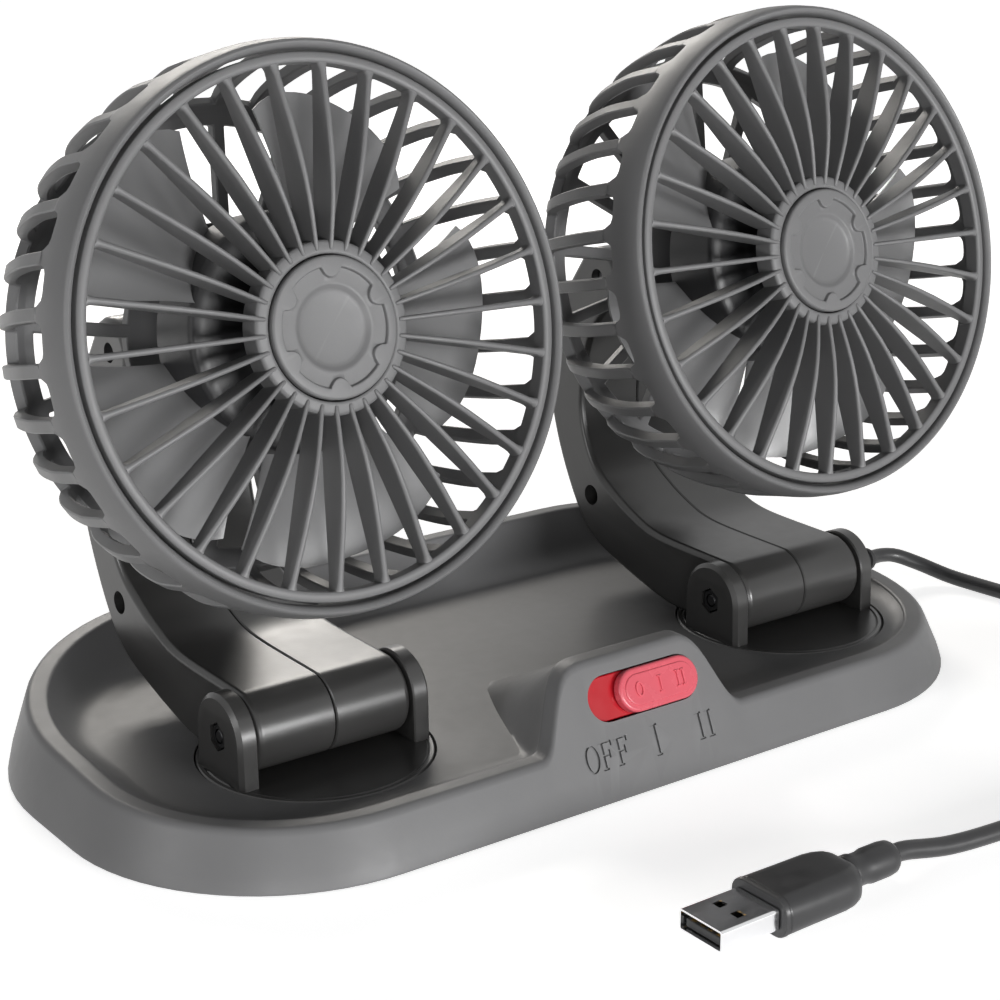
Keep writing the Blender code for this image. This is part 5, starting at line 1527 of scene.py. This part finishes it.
def column_angle(column, radius):
    """Each rib has one column of fields, and each slot between two ribs has eight."""
    rib, at = divmod(column, SLOT_COLUMNS + 1)
    half = asin(min(1, RIB_WIDTH / 2 / radius))
    start = tau * rib / RIBS
    if at == 0:
        return start - half
    return start + half + (tau / RIBS - 2 * half) * (at - 1) / SLOT_COLUMNS


def arch_drop(at, radius):
    """How much deeper the slot's edge lies near a rib, which rounds the slot's corners."""
    room = tau / RIBS * radius - RIB_WIDTH
    gap = (at - 1) * room / SLOT_COLUMNS
    to_rib = min(gap, room - gap) if at else 0
    if to_rib >= SLOT_CORNER:
        return 0
    return SLOT_CORNER - sqrt(SLOT_CORNER ** 2 - (SLOT_CORNER - to_rib) ** 2)


def cage_mesh(place):
    columns = SLOT_COLUMNS + 1
    total = RIBS * columns
    arch_row = len(RIM_ROWS)
    side_rows = [((p.x, p.y), inner_side(i)) for i, p in enumerate(SIDE_LINE)]
    rows = RIM_ROWS + [ARCH_ROW] + side_rows + HOOP_ROWS + SPOKE_ROWS
    hoop = arch_row + 1 + len(side_rows) - HOOP_SIDE_ROWS
    spokes = len(rows) - len(SPOKE_ROWS) - 1
    front, back = [], []
    for number, pair in enumerate(rows):
        for skin, (radius, depth) in zip((front, back), pair):
            for c in range(total):
                turn = column_angle(c, radius)
                drop = arch_drop(c % columns, radius) if number == arch_row else 0
                height = HEAD_FACE - (depth + drop)
                skin.append(place @ Vector((radius * cos(turn), radius * sin(turn), height)))
    faces = []
    for number in range(len(rows) - 1):
        for c in range(total):
            rib, at = divmod(c, columns)
            if number < arch_row or hoop <= number < spokes:
                there = True
            elif number < hoop:
                there = at == 0
            else:
                there = at == 0 and rib % 2 == 0
            if there:
                here = number * total
                below = here + total
                n = (c + 1) % total
                faces.append((here + c, here + n, below + n, below + c))
    bm = two_sided(bmesh.new(), front, back, faces)
    loose = [v for v in bm.verts if not v.link_faces]
    bmesh.ops.delete(bm, geom=loose, context="VERTS")
    return bm

print("fields round the cage:", RIBS * (SLOT_COLUMNS + 1))

# %% Cages
def cage(side, sign):
    place = head_place(sign)
    ribbed = loose_object(f"cage_{side}", cage_mesh(place))
    rounded(ribbed, 0.0003, 1, 60)
    handed(ribbed, GREY, f"head_{side}", (f"rear_cage_{side}",), 40)
    bm = bmesh.new()
    turned(bm, MOUNT_PROFILE, 96, face_place(sign))
    top = HEAD_FACE - CAGE_BACK + 0.0005
    knuckle = arc((0, 0), KNUCKLE_RADIUS, 180, 360, 24) + [(KNUCKLE_RADIUS, top), (-KNUCKLE_RADIUS, top)]
    pressed(bm, knuckle, -KNUCKLE_HALF, KNUCKLE_HALF, place @ SIDEWAYS)
    mount = loose_object(f"cage_plate_{side}", bm)
    pin_hole = pressed(bmesh.new(), circle(PIN_HOLE, 24), -0.02, 0.02, place @ ALONG_X)
    carved(mount, [loose_object("pin_hole", pin_hole)])
    rounded(mount, 0.0004, 2, 60)
    handed(mount, GREY, f"head_{side}", (), 40)
    return ribbed


for side, sign in SIDES:
    ribbed = cage(side, sign)
    print(ribbed.name, "has", len(ribbed.data.polygons), "faces and", RIBS, "ribs")

# %% [markdown]
# Grilles
#
# A grille is snapped into the front of each cage: a narrow ring, a hub, and thirty upright fins between
# them. The fins are thin and deep, so light catches only their front edges, and these bow out between the
# ring and the hub. A flat disc with slots would lose that depth. Each fin is swept here from the hub to
# the ring through sections that give its width, the height of its front edge and how deep it reaches,
# and it flares where it meets the ring, as the real fins do in their small fillets.

# %% Sections of the grille
FINS = 30
FIN_TURN = -1.3
# Radius, front edge above the face, rear edge below it and width.
FIN_SECTIONS = [
    (0.0157, 0.0009, 0.0030, 0.0006), (0.0160, 0.0011, 0.0040, 0.0009), (0.0168, 0.0012, 0.0046, 0.0010),
    (0.0182, 0.0014, 0.0050, 0.0010), (0.0200, 0.0017, 0.0050, 0.0010), (0.0230, 0.0022, 0.0049, 0.0011),
    (0.0265, 0.0026, 0.0048, 0.0011), (0.0310, 0.0028, 0.0047, 0.0012), (0.0360, 0.0026, 0.0044, 0.0013),
    (0.0420, 0.0019, 0.0041, 0.0013), (0.0480, 0.0009, 0.0038, 0.0014), (0.0512, 0.0004, 0.0037, 0.0015),
    (0.0523, 0.00025, 0.0036, 0.0018), (0.0529, 0.0002, 0.0036, 0.0023),
    (0.0533, 0.00015, 0.0036, 0.0030),
]
# Radius and height of the ring, which leaves a groove to the cage's rim, and of the hub.
RING_PROFILE = [
    (0.0554, -0.0036), (0.0554, -0.0004), (0.0552, -0.0001), (0.0548, 0.0001), (0.0541, 0.0002),
    (0.0535, 0.0001), (0.0532, -0.0002), (0.0531, -0.0006), (0.0532, -0.0038), (0.0552, -0.0038),
    (0.0554, -0.0036),
]
GRILLE_HUB = [
    (0.0149, -0.0050), (0.0149, 0.0003), (0.0151, 0.0006), (0.0156, 0.0007), (0.0170, 0.0006),
    (0.0176, 0.0003), (0.0178, -0.0003), (0.0178, -0.0048), (0.0176, -0.0050), (0.0149, -0.0050),
]

print("sections along a fin:", len(FIN_SECTIONS))

# %% Grilles
def fin_section(radius, rise, depth, width):
    """Across, then up: a strip whose front edge is round and whose rear is a little narrower."""
    w = width / 2
    outline = [
        (-w * 0.8, -depth), (-w, rise - w * 1.1), (-w * 0.72, rise - w * 0.32), (0, rise),
        (w * 0.72, rise - w * 0.32), (w, rise - w * 1.1), (w * 0.8, -depth),
    ]
    return [(radius, x, z) for x, z in outline]


def grille(side, sign):
    place = face_place(sign)
    bm = bmesh.new()
    turned(bm, RING_PROFILE, 180, place)
    turned(bm, GRILLE_HUB, 120, place)
    for fin in range(FINS):
        turn = place @ Matrix.Rotation(tau * fin / FINS + radians(FIN_TURN), 4, "Z")
        lofted(bm, [[turn @ Vector(p) for p in fin_section(*section)] for section in FIN_SECTIONS])
    piece = loose_object(f"grille_{side}", bm)
    return handed(piece, GREY, f"head_{side}", (f"front_grille_{side}",), 50)


for side, sign in SIDES:
    grille(side, sign)
print(FINS, "fins in each grille")

# %% [markdown]
# Hub caps
#
# The cap in the middle looks like a small bottle top: a raised ring with six round lobes that reach
# inwards over a lower face, and a shallow dish in the middle. All its rings of points lie round one axis,
# but the edge of the raised ring is drawn in where a lobe is, which one short formula does.

# %% Cap
LOBES = 6
LOBE_TURN = 26
LOBE_RADIUS = 0.0022
LOBE_EDGE = 0.0123
CAP_STEPS = 240
# Radius and height round the outside and the top.
CAP_OUTSIDE = [(0.0143, -0.0003), (0.0146, 0.0000), (0.0146, 0.0011), (0.0144, 0.0015), (0.0140, 0.0017)]
# How far outside the lobes' edge each ring lies, and its height.
CAP_INNER_EDGE = [(0.0003, 0.0017), (0.0001, 0.0016), (0, 0.0014), (-0.0001, 0.0009), (-0.0003, 0.0008)]
CAP_DISH = [
    (0.0093, 0.0008), (0.0089, 0.0008), (0.0086, 0.0007), (0.0081, 0.0003), (0.0077, 0.0001),
    (0.0070, 0), (0.0050, -0.0001), (0.0025, -0.0002), (0.0005, -0.0002),
]


def lobe_edge(turn):
    """How far in the raised ring reaches at this angle."""
    step = tau / LOBES
    off = (turn - radians(LOBE_TURN) + step / 2) % step - step / 2
    reach = LOBE_RADIUS ** 2 - (off * LOBE_EDGE) ** 2
    return LOBE_EDGE - (sqrt(reach) if reach > 0 else 0)


def cap(side, sign):
    place = face_place(sign)
    turns = [tau * i / CAP_STEPS for i in range(CAP_STEPS)]

    def ring(radii, height):
        return [place @ Vector((r * cos(a), r * sin(a), height)) for r, a in zip(radii, turns)]

    rings = [ring([radius] * CAP_STEPS, height) for radius, height in CAP_OUTSIDE]
    rings += [ring([lobe_edge(a) + edge for a in turns], height) for edge, height in CAP_INNER_EDGE]
    rings += [ring([radius] * CAP_STEPS, height) for radius, height in CAP_DISH]
    piece = loose_object(f"cap_{side}", lofted(bmesh.new(), rings))
    return handed(piece, GREY, f"head_{side}", (f"hub_cap_{side}",), 40)


for side, sign in SIDES:
    cap(side, sign)
print("caps with", LOBES, "lobes")

# %% [markdown]
# Impellers
#
# Behind each grille five broad, light grey blades overlap like petals round a dark hub. A blade is
# thin, twisted and rounded at its tip. It is laid out as a grid in two directions, outwards and across,
# and one formula gives each point its radius, angle and height, so the twist is even all over. The hub is
# a turned cup of its own darker plastic.

# %% Sizes of the impeller
BLADES = 5
BLADE_START = 65
BLADE_SPREAD = 58
BLADE_TIP = 0.0500
BLADE_ROOT = 0.0248
BLADE_THICK = 0.0013
BLADE_FRONT = 0.0125
BLADE_PITCH = 0.0140
SPANS = 10
CHORDS = 20
# Radius and height of the cup: its face, its wall and the boss for the motor's shaft.
CUP_PROFILE = [
    (0, -0.0115), (0.0225, -0.0115), (0.0245, -0.0118), (0.0253, -0.0126), (0.0255, -0.0138),
    (0.0255, -0.0272), (0.0252, -0.0275), (0.0242, -0.0275), (0.0239, -0.0272), (0.0239, -0.0131),
    (0.0042, -0.0131), (0.0042, -0.0200), (0.0018, -0.0200), (0.0018, -0.0135), (0, -0.0135),
]

print("impeller", 2 * BLADE_TIP, "m across")

# %% Blades and hub
def blade_point(out, across, lift, middle_angle):
    """A point of the blade: out runs from root to tip, across from one edge to the other."""
    tip = BLADE_TIP - (BLADE_TIP - BLADE_ROOT) * 0.16 * across ** 4
    radius = BLADE_ROOT + (tip - BLADE_ROOT) * out
    angle = radians(middle_angle + BLADE_SPREAD / 2 * across * (0.78 + 0.22 * out))
    pitch = (0.5 - across / 2) * (1 - 0.15 * out) + 0.08 * out
    thin = 1 - 0.55 * max(abs(across) ** 6, out ** 8)
    height = HEAD_FACE - BLADE_FRONT - BLADE_PITCH * pitch + lift * thin
    return Vector((radius * cos(angle), radius * sin(angle), height))


def blade_skins(middle_angle, place):
    skins = []
    for lift in (BLADE_THICK / 2, -BLADE_THICK / 2):
        skins.append([
            place @ blade_point(i / SPANS, 2 * j / CHORDS - 1, lift, middle_angle)
            for i in range(SPANS + 1) for j in range(CHORDS + 1)
        ])
    faces = []
    for i in range(SPANS):
        for j in range(CHORDS):
            a = i * (CHORDS + 1) + j
            faces.append((a, a + 1, a + CHORDS + 2, a + CHORDS + 1))
    return skins[0], skins[1], faces


def impeller(side, sign):
    bm = bmesh.new()
    for number in range(BLADES):
        two_sided(bm, *blade_skins(BLADE_START + 360 * number / BLADES, head_place(sign)))
    blades = loose_object(f"blades_{side}", bm)
    handed(blades, LIGHT_GREY, f"impeller_{side}", (f"impeller_{side}",), 60)
    cup = loose_object(f"impeller_hub_{side}", turned(bmesh.new(), CUP_PROFILE, 96, face_place(sign)))
    return handed(cup, BLACK, f"impeller_{side}", (), 40)


for side, sign in SIDES:
    impeller(side, sign)
print(BLADES, "blades on each impeller")

# %% [markdown]
# Screws underneath
#
# Four screws hold the plate to the base from below. They are seen only when the fan is turned over, and
# then as pan heads with a cross in their wells. Copies of one screw would all show their cross at the
# same angle, so a loop makes four and turns each cross to an angle of its own, as a screwdriver does.

# %% Screws
FRONT_SCREWS = (0.0753, -0.046)
REAR_SCREWS = (0.0413, 0.030)
SCREW_SEAT = 0.0012
BASE_SCREW = [(0, -0.0059), (0.0005, -0.0059), (0.0013, -0.0048), (0.0013, 0.0001), (0, 0.0001)]
BASE_SCREW_HEAD = 0.0027
BASE_SCREW_HEIGHT = 0.0009


def base_screw(number, x, y):
    """Its head looks down, three tenths of a millimetre above the table."""
    place = Matrix.Translation((x, y, SCREW_SEAT)) @ Matrix.Rotation(pi, 4, "X")
    bm = bmesh.new()
    turned(bm, BASE_SCREW, 24, place)
    recessed_head(bm, BASE_SCREW_HEAD, BASE_SCREW_HEIGHT, place)
    screw = loose_object(f"screw_{number}", bm)
    recess_place = place @ Matrix.Translation((0, 0, BASE_SCREW_HEIGHT)) @ Matrix.Rotation(number, 4, "Z")
    carved(screw, [cross_recess(recess_place, 0.0032, 0.0006, 0.0012)])
    return handed(screw, STEEL, "base", (f"base_screw_{number}",), 30)


number = 0
for from_end, y in (FRONT_SCREWS, REAR_SCREWS):
    for sign in (-1, 1):
        number += 1
        base_screw(number, BASE_MIDDLE + sign * (BASE_LENGTH / 2 - from_end), y)
print(number, "screws under the base")

# %% [markdown]
# Solids that stay as they are
#
# The plate, pad, motors, shafts, pins, retainers and the switch's inner parts are simple shapes that are
# already right, and most can only be seen between the ribs or from below. They keep their solids and get
# the finishes above, each by the kind of plastic, rubber or metal it is made of.

# %% Finishes of the kept solids
KEPT = {
    "base_plate": BLACK, "grip_pad": RUBBER, "circuit_board": BOARD, "switch_body": BLACK,
    "turntable_retainer": BLACK, "motor": STEEL, "motor_shaft": STEEL, "head_pin": STEEL,
}
dressed = 0
for node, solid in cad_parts.items():
    for start, material in KEPT.items():
        if node.startswith(start) and not (start == "motor" and "shaft" in node):
            if solid.data.materials:
                for i in range(len(solid.data.materials)):
                    solid.material_slots[i].material = material
            else:
                solid.data.materials.append(material)
            dressed += 1
print(dressed, "solids dressed")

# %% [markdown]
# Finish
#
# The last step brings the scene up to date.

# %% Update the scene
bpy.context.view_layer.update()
